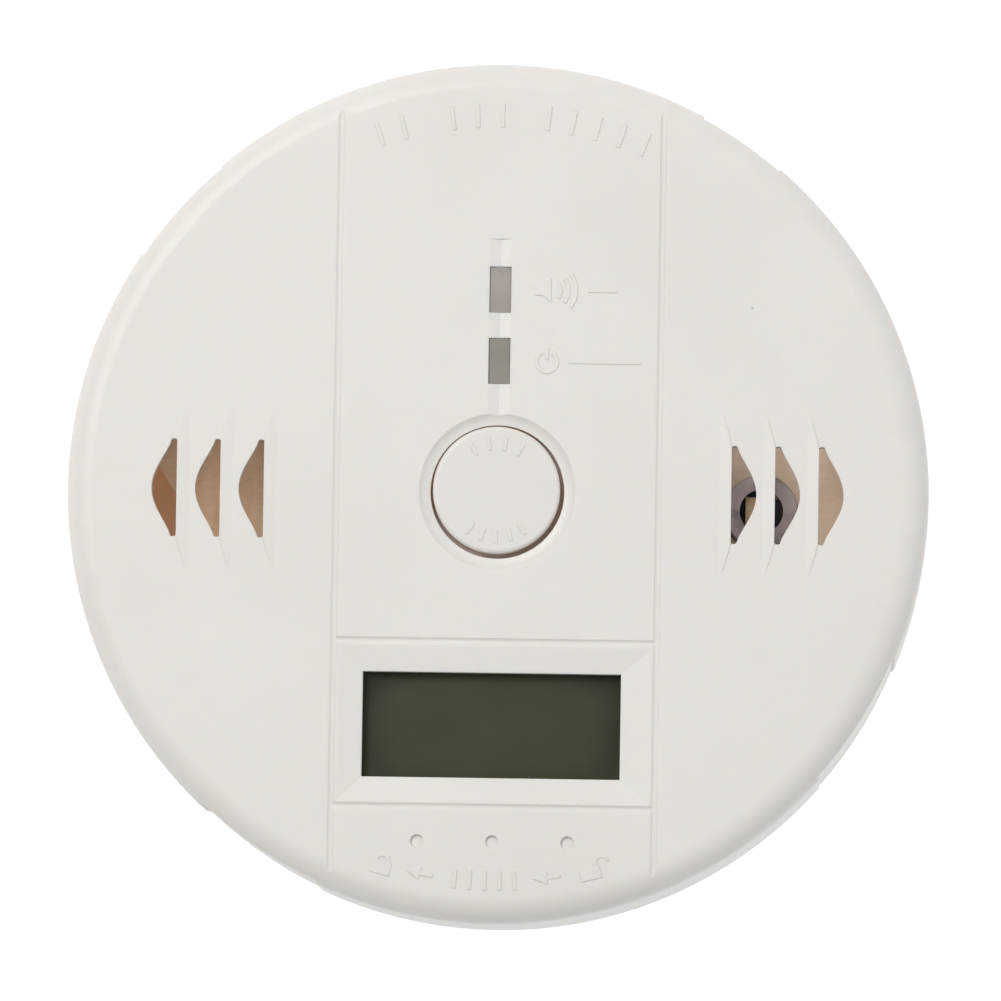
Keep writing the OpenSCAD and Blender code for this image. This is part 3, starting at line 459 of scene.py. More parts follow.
@dataclass(frozen=True)
class DisplayFilm(Look):
    """Dark olive front film of the display, with painted shade darkening it towards the edges, less
    along the bottom, and fine dust.
    """

    painted_rim_shade: Colour
    centre: Point
    half_width: float
    half_height: float
    haze_grain: float = 5 * MM
    dust_spacing: float = 3.2 * MM
    dust_sizes: tuple[float, float] = (0.010, 0.026)
    dust_colour: Colour = (0.26, 0.25, 0.20)

    def build(self) -> bpy.types.Material:
        """Makes the material.

        Returns:
            The finished material.
        """
        s = Shader(self.name)
        place = s.place(self.centre, (1 / self.half_width, 1 / self.half_height, 0))
        x, y = s.axis(place, "X"), s.axis(place, "Y")
        # Painted shade from the window's recess: darker towards the edges, less so along the
        # bottom.
        fade = ((x * x).power(2.0) + (y * y).power(1.6) * 0.8).step(0.05, 1.25)
        low = (0.0 - y).step(0.2, 1.1)
        haze = s.noise(s.place(), self.haze_grain, 3.0)
        dust = s.specks(s.place(), self.dust_spacing, self.dust_sizes)
        colour = s.mix(self.colour, self.painted_rim_shade, fade * (1.0 - low * 0.45))
        colour = s.mix(colour, self.colour, haze.step(0.45, 0.8) * 0.25)
        colour = s.mix(colour, self.dust_colour, dust * 0.7)
        rough = 0.24 + haze * 0.12 + dust * 0.3
        return s.finish(
            base_color=colour,
            roughness=rough,
            normal=s.bump(haze, 0.004 * MM),
            ior=1.35,
        )


@dataclass(frozen=True)
class Resin(Look):
    """Cast resin of an indicator, with a patch of a second tone round a point near its middle."""

    heart: Colour
    centre: Point
    reach: float = 2.6 * MM
    ripple_grain: float = 0.8 * MM
    scratch_grain: float = 0.3 * MM
    edge_radius: float = 0.12 * MM

    def build(self) -> bpy.types.Material:
        """Makes the material.

        Returns:
            The finished material.
        """
        s = Shader(self.name)
        away = s.distance(s.place(self.centre))
        ripple = s.noise(s.place(), self.ripple_grain, 3.0)
        scratch = s.noise(s.place(scale=(1, 6, 1)), self.scratch_grain, 2.0)
        soft = s.rounded(self.edge_radius)
        heart = 1.0 - (away + (ripple - 0.5) * 0.6 * MM).step(0.0, self.reach)
        colour = s.mix(self.colour, self.heart, heart * 0.8)
        colour = s.mix(colour, self.tinted(0.8), ripple.step(0.5, 0.8) * 0.3)
        return s.finish(
            base_color=colour,
            roughness=0.28 + scratch * 0.15,
            normal=s.bump(ripple + scratch * 0.3, 0.006 * MM, soft),
            coat_weight=0.15,
        )


@dataclass(frozen=True)
class Sleeve(Look):
    """Plain shrink sleeve or glossy skin with one band along an axis and shrink ripples."""

    band: Colour
    axis: str
    band_from: float
    band_to: float
    ripple: float = 0.02 * MM
    roughness: float = 0.28
    ripple_grain: float = 2.4 * MM
    dust_grain: float = 0.35 * MM
    band_edge: float = 0.06 * MM

    def build(self) -> bpy.types.Material:
        """Makes the material.

        Returns:
            The finished material.
        """
        s = Shader(self.name)
        place = s.place()
        along = s.axis(place, self.axis)
        ripple = s.noise(place, self.ripple_grain, 3.0)
        dust = s.noise(place, self.dust_grain, 3.0, 0.7)
        edge = self.band_edge
        inside = along.step(self.band_from - edge, self.band_from + edge) * (
            1.0 - along.step(self.band_to - edge, self.band_to + edge)
        )
        colour = s.mix(self.colour, self.band, inside)
        colour = s.mix(colour, self.tinted(0.75), ripple.step(0.5, 0.8) * 0.3)
        return s.finish(
            base_color=colour,
            roughness=self.roughness + (dust - 0.5) * 0.2,
            normal=s.bump(ripple, self.ripple),
            coat_weight=0.25,
        )


@dataclass(frozen=True)
class ClearPane(Look):
    """Display glass or light guide: half clear, with smudges."""

    alpha: float
    smudge_grain: float = 6 * MM

    def build(self) -> bpy.types.Material:
        """Makes the material.

        Returns:
            The finished material.
        """
        s = Shader(self.name)
        smudge = s.noise(s.place(), self.smudge_grain, 4.0)
        colour = s.mix(self.colour, self.tinted(0.85), smudge)
        return s.finish(
            base_color=colour,
            roughness=0.08 + smudge * 0.12,
            alpha=self.alpha,
            normal=s.bump(smudge, 0.002 * MM),
        )


class Finish(Enum):
    """Every finish of the detector."""

    # Painted glow: COVER on the walls round the button, CASE as a warm band round its inside at 7.1
    # to 8.2 mm, BUTTON on its sides.
    COVER = MouldedPlastic("cover_white", (0.775, 0.750, 0.722), (0.745, 0.718, 0.688), speck=0.6,
                           depth=0.35, glow=(0.035, 0.020, 0.012),
                           glow_heights=(32 * MM, 37.5 * MM), glow_within=7.9 * MM)
    CASE = MouldedPlastic("case_white", (0.765, 0.742, 0.712), (0.735, 0.708, 0.676), 0.5,
                          glow=(0.155, 0.057, 0.012), glow_heights=(7.1 * MM, 8.2 * MM),
                          glow_within=47 * MM)
    PLATE = MouldedPlastic("plate_white", (0.755, 0.732, 0.700), (0.72, 0.694, 0.66), 0.52)
    BUTTON = MouldedPlastic("button_white", (0.755, 0.730, 0.706), (0.73, 0.703, 0.676), 0.40,
                            edge_radius=0.1 * MM, depth=0.3, glow=(0.022, 0.013, 0.009),
                            glow_heights=(30 * MM, 37.8 * MM))
    FRAME = MouldedPlastic("frame_white", (0.74, 0.73, 0.70), (0.70, 0.69, 0.66), 0.45)
    BLACK = MouldedPlastic("black_moulding", (0.022, 0.021, 0.021), (0.035, 0.033, 0.031), 0.42,
                           edge_radius=0.06 * MM)
    DARK_BASE = MouldedPlastic("dark_moulding", (0.045, 0.035, 0.030), (0.06, 0.048, 0.04), 0.5,
                               edge_radius=0.06 * MM)
    EPOXY = MouldedPlastic("chip_epoxy", (0.026, 0.026, 0.028), (0.04, 0.04, 0.042), 0.58,
                           texture_grain=0.1 * MM, edge_radius=0.05 * MM)
    FERRITE = MouldedPlastic("ferrite", (0.040, 0.034, 0.030), (0.10, 0.05, 0.025), 0.5,
                             texture_depth=0.02 * MM, edge_radius=0.08 * MM)
    CERAMIC = MouldedPlastic("silvered_ceramic", (0.66, 0.64, 0.58), (0.55, 0.54, 0.50), 0.35)
    GLAZE = MouldedPlastic("resistor_glaze", (0.018, 0.019, 0.022), (0.03, 0.03, 0.034), 0.25,
                           edge_radius=0.05 * MM, coat=0.3)
    REFLECTOR = MouldedPlastic("reflector_film", (0.50, 0.51, 0.46), (0.42, 0.43, 0.38), 0.22)
    ZINC = PlatedMetal("zinc_plate", (0.62, 0.62, 0.63), (0.42, 0.42, 0.44), 0.34)
    TIN = PlatedMetal("tin_plate", (0.66, 0.65, 0.62), (0.45, 0.44, 0.41), 0.36)
    SOLDER = PlatedMetal("solder", (0.62, 0.62, 0.61), (0.42, 0.42, 0.43), 0.24)
    NICKEL = PlatedMetal("nickel_plate", (0.70, 0.67, 0.62), (0.50, 0.47, 0.42), 0.28,
                         stretch=(1, 0.1, 1))
    CAN = PlatedMetal("dulled_can", (0.112, 0.080, 0.066), (0.055, 0.040, 0.034), 0.6,
                      tarnish_share=0.9, metallic=0.25)
    GOLD = PlatedMetal("gold_plate", (0.18, 0.108, 0.048), (0.11, 0.065, 0.03), 0.5, metallic=0.3)
    BRASS = PlatedMetal("rolled_brass", (0.76, 0.56, 0.26), (0.55, 0.38, 0.18), 0.3,
                        stretch=(0.1, 1, 1))
    CRYSTAL = PlatedMetal("drawn_can", (0.70, 0.70, 0.68), (0.5, 0.5, 0.49), 0.25)
    BOARD = PaperBoard("phenolic_board", (0.50, 0.335, 0.205), (0.56, 0.40, 0.27),
                       (0.40, 0.25, 0.14))
    CELL_SKIN = Sleeve("cell_skin", (0.36, 0.10, 0.022), (0.03, 0.03, 0.032), "Y", -8 * MM, 60 * MM)
    CAP_SKIN = Sleeve("capacitor_skin", (0.012, 0.016, 0.05), (0.30, 0.31, 0.33), "X", 36 * MM,
                      37 * MM)
    RED = Sleeve("red_vinyl", (0.40, 0.012, 0.010), (0.36, 0.01, 0.01), "Z", 0.0, 1 * MM,
                 0.006 * MM, 0.4)
    DARK = Sleeve("black_vinyl", (0.015, 0.015, 0.015), (0.02, 0.02, 0.02), "Z", 0.0, 1 * MM,
                  0.006 * MM, 0.4)
    PANE = ClearPane("display_pane", (0.45, 0.48, 0.38), 0.5)
    GUIDE = ClearPane("light_guide", (0.86, 0.88, 0.84), 0.8)

# ---- Mesh making ----


def new_object(name: str, mesh: bpy.types.Mesh) -> bpy.types.Object:
    """Adds a mesh object at the origin.

    Args:
        name: the object's name.
        mesh: its mesh, already in place.

    Returns:
        The object.
    """
    mesh.name = name
    made = bpy.data.objects.new(name, mesh)
    bpy.context.scene.collection.objects.link(made)
    return made


def mesh_of(work: bmesh.types.BMesh, smooth: bool = True) -> bpy.types.Mesh:
    """Turns a bmesh into a mesh with merged doubles and outward faces.

    Args:
        work: the bmesh, which is freed.
        smooth: whether its faces are shaded smooth.

    Returns:
        The mesh.
    """
    bmesh.ops.remove_doubles(work, verts=work.verts, dist=1e-7)
    bmesh.ops.recalc_face_normals(work, faces=work.faces)
    for face in work.faces:
        face.smooth = smooth
    mesh = bpy.data.meshes.new("mesh")
    work.to_mesh(mesh)
    work.free()
    return mesh


def lathe(profile: Sequence[tuple[float, float]], steps: int = 48) -> bpy.types.Mesh:
    """Closed turned shape about Z.

    Args:
        profile: (radius, height) pairs from one pole to the other, in metres.
        steps: divisions round the axis.

    Returns:
        The mesh.
    """
    work = bmesh.new()
    rings: list[list[bmesh.types.BMVert]] = []
    for radius, height in profile:
        if radius < 1e-9:
            rings.append([work.verts.new((0, 0, height))])
            continue
        angles = [math.tau * i / steps for i in range(steps)]
        rings.append([
            work.verts.new((radius * math.cos(a), radius * math.sin(a), height)) for a in angles
        ])
    for low, high in zip(rings, rings[1:]):
        for i in range(steps):
            j = (i + 1) % steps
            ends = (low, i), (low, j), (high, j), (high, i)
            unique = list(dict.fromkeys(ring[k % len(ring)] for ring, k in ends))
            if len(unique) > 2:
                work.faces.new(unique)
    return mesh_of(work)


def rounded_profile(
    corners: Sequence[tuple[float, float, float]], steps: int = 4
) -> list[tuple[float, float]]:
    """Profile with rounded corners.

    Args:
        corners: (radius, height, rounding) of each corner.
        steps: pieces of each rounding.

    Returns:
        (radius, height) pairs.
    """
    made: list[tuple[float, float]] = []
    for i, (r, z, rounding) in enumerate(corners):
        here = Vector((r, z))
        if rounding <= 0 or i in (0, len(corners) - 1):
            made.append((r, z))
            continue
        before = (Vector(corners[i - 1][:2]) - here).normalized() * rounding
        after = (Vector(corners[i + 1][:2]) - here).normalized() * rounding
        for k in range(steps + 1):
            t = k / steps
            spot = here + before * (1 - t) ** 2 + after * t**2
            made.append((max(spot.x, 0.0), spot.y))
    return made


@dataclass(frozen=True)
class PanScrew:
    """Pan-head screw with threads and a cross recess."""

    radius: float
    length: float
    head: float
    thick: float
    recess_wide: float = 0.5 * MM
    first_thread: float = 0.4 * MM

    def mesh(self) -> bpy.types.Mesh:
        """Builds the screw, pointing up from a seat at height 0.

        Returns:
            The mesh.
        """
        r, length, head, thick = self.radius, self.length, self.head, self.thick
        corners = [(0, -thick, 0), (head * 0.72, -thick, head * 0.25),
                   (head, -thick * 0.62, head * 0.2), (head, 0, 0.1 * MM), (r * 0.8, 0, 0)]
        pitch = r * 0.72
        for i in range(int((length * 0.86) / pitch)):
            z = self.first_thread + i * pitch
            corners += [(r * 0.78, z, 0), (r, z + pitch * 0.45, 0), (r, z + pitch * 0.55, 0)]
        corners += [(r * 0.7, length * 0.92, 0), (0, length, 0)]
        body = new_object("screw_blank", lathe(rounded_profile(corners), 36))
        work = bmesh.new()
        for turn in (0.0, math.pi / 2):
            for sign in (-1, 1):
                verts = bmesh.ops.create_cube(work, size=1.0)["verts"]
                size = (head * 0.62, self.recess_wide, thick * 0.62)
                bmesh.ops.scale(work, vec=size, verts=verts)
                bmesh.ops.translate(work, vec=(sign * head * 0.31, 0, -thick * 1.0), verts=verts)
                bmesh.ops.rotate(work, matrix=Matrix.Rotation(turn, 3, "Z"), verts=verts)
        tool = new_object("recess_tool", mesh_of(work, False))
        cut = body.modifiers.new("recess", "BOOLEAN")
        cut.object, cut.operation, cut.solver = tool, "DIFFERENCE", "EXACT"
        cut.use_self = True
        mesh = evaluated(body)
        bpy.data.objects.remove(body)
        bpy.data.objects.remove(tool)
        return mesh


def evaluated(obj: bpy.types.Object) -> bpy.types.Mesh:
    """Carries out an object's modifiers.

    Args:
        obj: the object.

    Returns:
        A plain mesh of the result.
    """
    bpy.context.view_layer.update()
    graph = bpy.context.evaluated_depsgraph_get()
    return bpy.data.meshes.new_from_object(obj.evaluated_get(graph), depsgraph=graph)


def dress(obj: bpy.types.Object, look: Look) -> None:
    """Gives an object one finish."""
    obj.data.materials.clear()
    obj.data.materials.append(look.material())


def shade_by_angle(obj: bpy.types.Object, degrees: float = 32.0) -> None:
    """Smooth shading with sharp edges.

    Args:
        obj: the object to shade.
        degrees: the angle above which an edge is sharp.
    """
    limit = math.radians(degrees)
    work = bmesh.new()
    work.from_mesh(obj.data)
    for face in work.faces:
        face.smooth = True
    for edge in work.edges:
        edge.smooth = not (len(edge.link_faces) == 2 and edge.calc_face_angle() > limit)
    work.to_mesh(obj.data)
    work.free()


# ---- Geometry node trees ----


class Growth(Graph):
    """A geometry node tree with named inputs, which ends in realized, dressed geometry."""

    def __init__(self, name: str) -> None:
        """Starts a tree with one geometry input and output.

        Args:
            name: the tree's name.
        """
        self.tree = bpy.data.node_groups.new(name, "GeometryNodeTree")
        face = self.tree.interface
        face.new_socket("Geometry", in_out="INPUT", socket_type="NodeSocketGeometry")
        face.new_socket("Geometry", in_out="OUTPUT", socket_type="NodeSocketGeometry")
        self.source = self.tree.nodes.new("NodeGroupInput")
        self.sink = self.tree.nodes.new("NodeGroupOutput")
        self.keys: dict[str, str] = {}

    def size(self, name: str, value: object, kind: str = "NodeSocketFloat") -> bpy.types.NodeSocket:
        """Adds a named input.

        Args:
            name: its name.
            value: its default, or None for the type's own.
            kind: its socket type.

        Returns:
            The socket that carries it.
        """
        made = self.tree.interface.new_socket(name, in_out="INPUT", socket_type=kind)
        if value is not None:
            made.default_value = value
        self.keys[name] = made.identifier
        return next(s for s in self.source.outputs if s.identifier == made.identifier)

    def turned(self, axis: str) -> bpy.types.NodeSocket:
        """Rotation of each point by its stored turn.

        Args:
            axis: X, Y or Z.

        Returns:
            The rotation.
        """
        kind = {"data_type": "FLOAT"}
        turn = self.node("GeometryNodeInputNamedAttribute", kind, {"Name": "turn"})
        return self.node("ShaderNodeCombineXYZ", {}, {axis: turn.outputs[0]}).outputs[0]

    def close(self, geometry: bpy.types.NodeSocket, finish: Finish) -> None:
        """Ends the tree in Realize Instances and Set Material.

        Args:
            geometry: what the tree has made.
            finish: what it is dressed in.
        """
        for kind in ("GeometryNodeRealizeInstances", "GeometryNodeSetShadeSmooth"):
            geometry = self.node(kind, {}, {"Geometry": geometry}).outputs[0]
        inputs = {"Geometry": geometry, "Material": finish.value.material()}
        worn = self.node("GeometryNodeSetMaterial", {}, inputs)
        self.tree.links.new(worn.outputs[0], self.sink.inputs[0])

    def grow(self, name: str, seeds: bpy.types.Mesh, **sizes: object) -> bpy.types.Mesh:
        """Runs the tree on a mesh.

        Args:
            name: a name for the work object.
            seeds: the mesh the tree starts from.
            **sizes: values of named inputs, with underscores for spaces.

        Returns:
            The grown mesh.
        """
        work = new_object(name + "_seeds", seeds)
        modifier = work.modifiers.new("growth", "NODES")
        modifier.node_group = self.tree
        for key, value in sizes.items():
            modifier[self.keys[key.replace("_", " ")]] = value
        mesh = evaluated(work)
        work.modifiers.remove(modifier)
        bpy.data.objects.remove(work)
        return mesh


def spots_mesh(spots: Iterable[Point], turns: Sequence[float] | None = None) -> bpy.types.Mesh:
    """Loose points.

    Args:
        spots: where they are.
        turns: the turn stored on each, in radians, or None for no turn.

    Returns:
        The points as a mesh.
    """
    places = list(spots)
    mesh = bpy.data.meshes.new("spots")
    mesh.from_pydata(places, [], [])
    turn = mesh.attributes.new("turn", "FLOAT", "POINT")
    turn.data.foreach_set("value", list(turns) if turns else [0.0] * len(places))
    return mesh


def repeat(name: str, finish: Finish, master_mesh: bpy.types.Mesh, spots: Iterable[Point],
           turns: Sequence[float] | None = None, scale: float = 1.0,
           jitter: float = 0.0) -> bpy.types.Mesh:
    """Sets copies of one mesh on points.

    Args:
        name: the tree's name.
        finish: what the copies are dressed in.
        master_mesh: the mesh to copy.
        spots: where the copies stand.
        turns: their turns about Z in radians, or None for no turn.
        scale: size of the copies.
        jitter: greatest random share by which a copy's size differs.

    Returns:
        The copies as one mesh.
    """
    growth = Growth(name)
    master_input = growth.size("Master", None, "NodeSocketObject")
    scale_input = growth.size("Scale", 1.0)
    info = growth.node("GeometryNodeObjectInfo", {}, {"Object": master_input})
    limits = {"Min": 1.0 - jitter, "Max": 1.0 + jitter, "Seed": SEED}
    vary = growth.node("FunctionNodeRandomValue", {"data_type": "FLOAT"}, limits)
    varied = next(s for s in vary.outputs if s.enabled)
    sized = growth.node("ShaderNodeMath", {"operation": "MULTIPLY"}, {0: scale_input, 1: varied})
    copies = {"Points": growth.source.outputs[0], "Instance": info.outputs["Geometry"],
              "Rotation": growth.turned("Z"), "Scale": sized.outputs[0]}
    made = growth.node("GeometryNodeInstanceOnPoints", {}, copies)
    growth.close(made.outputs[0], finish)
    master = new_object(name + "_master", master_mesh)
    mesh = growth.grow(name, spots_mesh(spots, turns), Master=master, Scale=scale)
    bpy.data.objects.remove(master)
    return mesh


@dataclass(frozen=True)
class ConicalSpring:
    """A conical contact spring of round wire."""

    wire: float = 0.35 * MM
    wide: float = 4.3 * MM
    narrow: float = 2.7 * MM
    turns: float = 3.2
    steps: int = 32
    wire_sides: int = 12

    def wind(self, finish: Finish, height: float, spots: Iterable[Point],
             turns: Sequence[float]) -> bpy.types.Mesh:
        """Winds one spring on every point.

        Args:
            finish: what the springs are dressed in.
            height: of each coil, between the middles of its end turns.
            spots: where the wide ends are.
            turns: about X in radians, from pointing out of the wall.

        Returns:
            The springs as one mesh.
        """
        growth = Growth("conical_spring")
        coil = {
            "Resolution": self.steps,
            "Rotations": growth.size("Turns", self.turns),
            "Start Radius": growth.size("Wide Radius", self.wide),
            "End Radius": growth.size("Narrow Radius", self.narrow),
            "Height": growth.size("Height", height),
        }
        round_wire = {
            "Resolution": self.wire_sides, "Radius": growth.size("Wire Radius", self.wire),
        }
        spiral = growth.node("GeometryNodeCurveSpiral", {}, coil)
        ring = growth.node("GeometryNodeCurvePrimitiveCircle", {}, round_wire)
        curves = {"Curve": spiral.outputs[0], "Profile Curve": ring.outputs[0], "Fill Caps": True}
        tube = growth.node("GeometryNodeCurveToMesh", {}, curves)
        copies = {"Points": growth.source.outputs[0], "Instance": tube.outputs[0],
                  "Rotation": growth.turned("X")}
        made = growth.node("GeometryNodeInstanceOnPoints", {}, copies)
        growth.close(made.outputs[0], finish)
        return growth.grow("springs", spots_mesh(spots, turns), Height=height)


# ---- Sub-assemblies ----


@dataclass
class Part:
    """A group of pieces that is dressed and refined together."""

    nodes: dict[str, bpy.types.Object]

    def wear(self, finish: Finish | Look, *names: str) -> None:
        """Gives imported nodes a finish.

        Args:
            finish: one of the detector's finishes, or one made for a single node.
            *names: the nodes.
        """
        look = finish.value if isinstance(finish, Finish) else finish
        for name in names:
            dress(self.nodes[name], look)
            log.info("%s wears %s", name, look.name)

    def add(self, name: str, mesh: bpy.types.Mesh, finish: Finish, slot: str,
            stands_for: Sequence[str] = ()) -> bpy.types.Object:
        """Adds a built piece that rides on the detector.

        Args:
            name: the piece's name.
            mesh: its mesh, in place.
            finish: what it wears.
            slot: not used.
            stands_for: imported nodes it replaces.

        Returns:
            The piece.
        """
        piece = new_object(name, mesh)
        dress(piece, finish.value)
        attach(piece, "detector")
        if stands_for:
            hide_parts(*stands_for)
        log.info("%s built with %d faces", name, len(mesh.polygons))
        return piece

    def add_screws(self, name: str, screw: PanScrew, spots: Sequence[Point],
                   turns: Sequence[float], node: str) -> None:
        """Adds a set of zinc-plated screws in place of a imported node.

        Args:
            name: the piece's name.
            screw: the screw's sizes.
            spots: where the heads seat.
            turns: about Z in radians.
            node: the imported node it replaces.
        """
        mesh = repeat(name, Finish.ZINC, screw.mesh(), spots, turns)
        shade_by_angle(self.add(name, mesh, Finish.ZINC, "steel_screw", [node]))

    def build(self) -> None:
        """Makes and dresses the group's pieces."""
        raise NotImplementedError


@dataclass
class Housing(Part):
    """Front cover, back case, wall plate and the screws that join the halves."""

    post_radius: float = 42 * MM
    first_post: float = 90.0
    posts: int = 3
    screw: PanScrew = PanScrew(1.3 * MM, 10 * MM, 2.6 * MM, 1.8 * MM)

    def build(self) -> None:
        """Makes and dresses the group's pieces."""
        self.wear(Finish.COVER, "front_cover")
        self.wear(Finish.CASE, "back_case")
        self.wear(Finish.PLATE, "mounting_plate")
        self.build_screws()

    def build_screws(self) -> None:
        """Sets threaded screws in the posts."""
        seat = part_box("cover_screws")[0].z + self.screw.thick
        r = self.post_radius
        angles = [math.radians(self.first_post + i * 360 / self.posts) for i in range(self.posts)]
        spots = [(r * math.cos(a), r * math.sin(a), seat) for a in angles]
        self.add_screws("case_screws", self.screw, spots, angles, "cover_screws")


@dataclass
class Button(Part):
    """Test button with the push switch behind it."""

    def build(self) -> None:
        """Makes and dresses the group's pieces."""
        self.wear(Finish.BUTTON, "test_button")
        self.wear(Finish.BLACK, "switch_body", "switch_plunger")
        self.wear(Finish.TIN, "switch_lid", "switch_legs")


@dataclass
class Display(Part):
    """Liquid crystal display, its light guide, frame and pins."""

    window_centre: Point = (-0.3 * MM, -27.1 * MM, 0.0)
    window_half_width: float = 15.0 * MM
    window_half_height: float = 6.1 * MM

    def build(self) -> None:
        """Makes and dresses the group's pieces."""
        # The second colour is the painted shade at the window's edges.
        film = DisplayFilm(
            "display_film", (0.050, 0.051, 0.028), (0.022, 0.021, 0.010),
            self.window_centre, self.window_half_width, self.window_half_height,
        )
        self.wear(film, "lcd_polariser")
        self.wear(Finish.PANE, "lcd_glass")
        self.wear(Finish.REFLECTOR, "lcd_reflector")
        self.wear(Finish.GUIDE, "lcd_backlight")
        self.wear(Finish.FRAME, "lcd_holder")
        self.wear(Finish.TIN, "lcd_pins")


@dataclass
class Indicators(Part):
    """The alarm and operating indicators."""

    heart_up: float = 0.8 * MM

    def build(self) -> None:
        """Makes and dresses the group's pieces."""
        looks = {
            "alarm_led": ((0.325, 0.293, 0.268), (0.385, 0.345, 0.32)),
            "operate_led": ((0.265, 0.243, 0.211), (0.24, 0.221, 0.19)),
        }
        for name, (colour, heart) in looks.items():
            low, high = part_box(name)
            centre = ((low.x + high.x) / 2, (low.y + high.y) / 2 + self.heart_up, high.z)
            self.wear(Resin(name + "_resin", colour, heart, centre), name)
        self.wear(Finish.TIN, "led_leads")


@dataclass
class GasSensor(Part):
    """Gas sensor behind the right-hand louvres."""

    def build(self) -> None:
        """Makes and dresses the group's pieces."""
        self.wear(Finish.CAN, "sensor_can")
        self.wear(Finish.DARK_BASE, "sensor_base")
        self.wear(Finish.GOLD, "sensor_element", "sensor_leads")


@dataclass
class Sounder(Part):
    """Piezo sounder in its black case."""

    def build(self) -> None:
        """Makes and dresses the group's pieces."""
        self.wear(Finish.BLACK, "sounder_case", "sounder_base")
        self.wear(Finish.BRASS, "piezo_disc")
        self.wear(Finish.CERAMIC, "piezo_ceramic")
        self.wear(Finish.TIN, "sounder_pins")


@dataclass
class BoardAssembly(Part):
    """Circuit board, its small parts, solder joints and screws."""

    standoffs: tuple[tuple[float, float], ...] = (
        (21 * MM, 33 * MM), (-36.5 * MM, 9.5 * MM), (31 * MM, -13 * MM), (-23 * MM, -12 * MM),
    )
    screw: PanScrew = PanScrew(1.1 * MM, 6 * MM, 2.2 * MM, 1.5 * MM)
    lead_stub: float = 0.9 * MM
    lead_spread: float = 0.9 * MM
    solder_profile: tuple[tuple[float, float], ...] = (
        (0, 0), (1.0, 0), (0.95, -0.1), (0.55, -0.26), (0.36, -0.6), (0.2, -0.86), (0, -0.92),
    )
    solder_scale: float = 0.95
    solder_jitter: float = 0.08
    chip_reach: float = 2.6 * MM
    chip_edge: float = 0.06 * MM

    def build(self) -> None:
        """Makes and dresses the group's pieces."""
        self.wear(Finish.BOARD, "circuit_board")
        self.wear(Finish.EPOXY, "microcontroller", "transistor")
        self.wear(Finish.TIN, "microcontroller_legs", "component_leads")
        self.wear(Finish.CAP_SKIN, "capacitors")
        self.wear(Finish.FERRITE, "inductor")
        self.wear(Finish.CRYSTAL, "crystal")
        self.build_screws()
        self.build_solder()
        self.build_resistors()

    def build_screws(self) -> None:
        """Sets threaded screws under the board."""
        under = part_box("circuit_board")[0].z
        spots = [(x, y, under) for x, y in self.standoffs]
        turns = [0.4 + 0.9 * i for i in range(len(spots))]
        self.add_screws("board_screw_set", self.screw, spots, turns, "board_screws")

    def lead_spots(self) -> list[Point]:
        """Centres of the leads under the board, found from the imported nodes.

        Returns:
            One point per lead, on the board's underside.
        """
        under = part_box("circuit_board")[0].z
        found: dict[tuple[int, int], Point] = {}
        for name in ("component_leads", "led_leads", "sounder_pins", "lcd_pins", "sensor_leads",
                     "switch_legs"):
            for corner in self.nodes[name].data.vertices:
                if corner.co.z > under - self.lead_stub * 0.9:
                    continue
                near = next(
                    (k for k, p in found.items()
                     if (Vector(p[:2]) - Vector(corner.co[:2])).length < self.lead_spread), None)
                if near is None:
                    key = (round(corner.co.x * 1e5), round(corner.co.y * 1e5))
                    found[key] = (corner.co.x, corner.co.y, under)
        return list(found.values())

    def build_solder(self) -> None:
        """Puts a solder joint round every lead under the board."""
        cone = [(r * MM, z * MM) for r, z in self.solder_profile]
        mesh = repeat("solder_joints", Finish.SOLDER, lathe(cone, 18), self.lead_spots(),
                      scale=self.solder_scale, jitter=self.solder_jitter)
        self.add("solder_joints", mesh, Finish.SOLDER, "tinned")

    def build_resistors(self) -> None:
        """Chip resistors with tinned ends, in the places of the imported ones."""
        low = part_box("resistors")[0].z
        centres: dict[tuple[int, int], Point] = {}
        corners = [v.co for v in self.nodes["resistors"].data.vertices]
        for corner in corners:
            near = [c for c in corners if (c - corner).length < self.chip_reach]
            x = (min(c.x for c in near) + max(c.x for c in near)) / 2
            y = (min(c.y for c in near) + max(c.y for c in near)) / 2
            centres[(round(x * 1e4), round(y * 1e4))] = (x, y, low)
        self.build_chips("resistor_bodies", Finish.GLAZE, [(-0.64, 0.64)], 1.14, 0.46,
                         centres.values(), "resistor_black", ["resistors"])
        self.build_chips("resistor_ends", Finish.TIN, [(-1.0, -0.62), (0.62, 1.0)], 1.2, 0.5,
                         centres.values(), "tinned")

    def build_chips(self, name: str, finish: Finish, spans: Sequence[tuple[float, float]],
                    wide: float, high: float, spots: Iterable[Point], slot: str,
                    stands_for: Sequence[str] = ()) -> None:
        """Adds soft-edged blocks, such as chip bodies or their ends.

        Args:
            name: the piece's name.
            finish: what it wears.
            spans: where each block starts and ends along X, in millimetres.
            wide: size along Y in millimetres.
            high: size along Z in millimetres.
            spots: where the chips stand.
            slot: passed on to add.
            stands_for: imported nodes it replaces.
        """
        work = bmesh.new()
        for x0, x1 in spans:
            verts = bmesh.ops.create_cube(work, size=1.0)["verts"]
            size, middle = Vector((x1 - x0, wide, high)), Vector(((x0 + x1) / 2, 0, high / 2))
            bmesh.ops.scale(work, vec=size * MM, verts=verts)
            bmesh.ops.translate(work, vec=middle * MM, verts=verts)
        bmesh.ops.bevel(work, geom=work.edges[:], offset=self.chip_edge, segments=2,
                        affect="EDGES")
        mesh = repeat(name, finish, mesh_of(work, False), spots)
        shade_by_angle(self.add(name, mesh, finish, slot, stands_for))


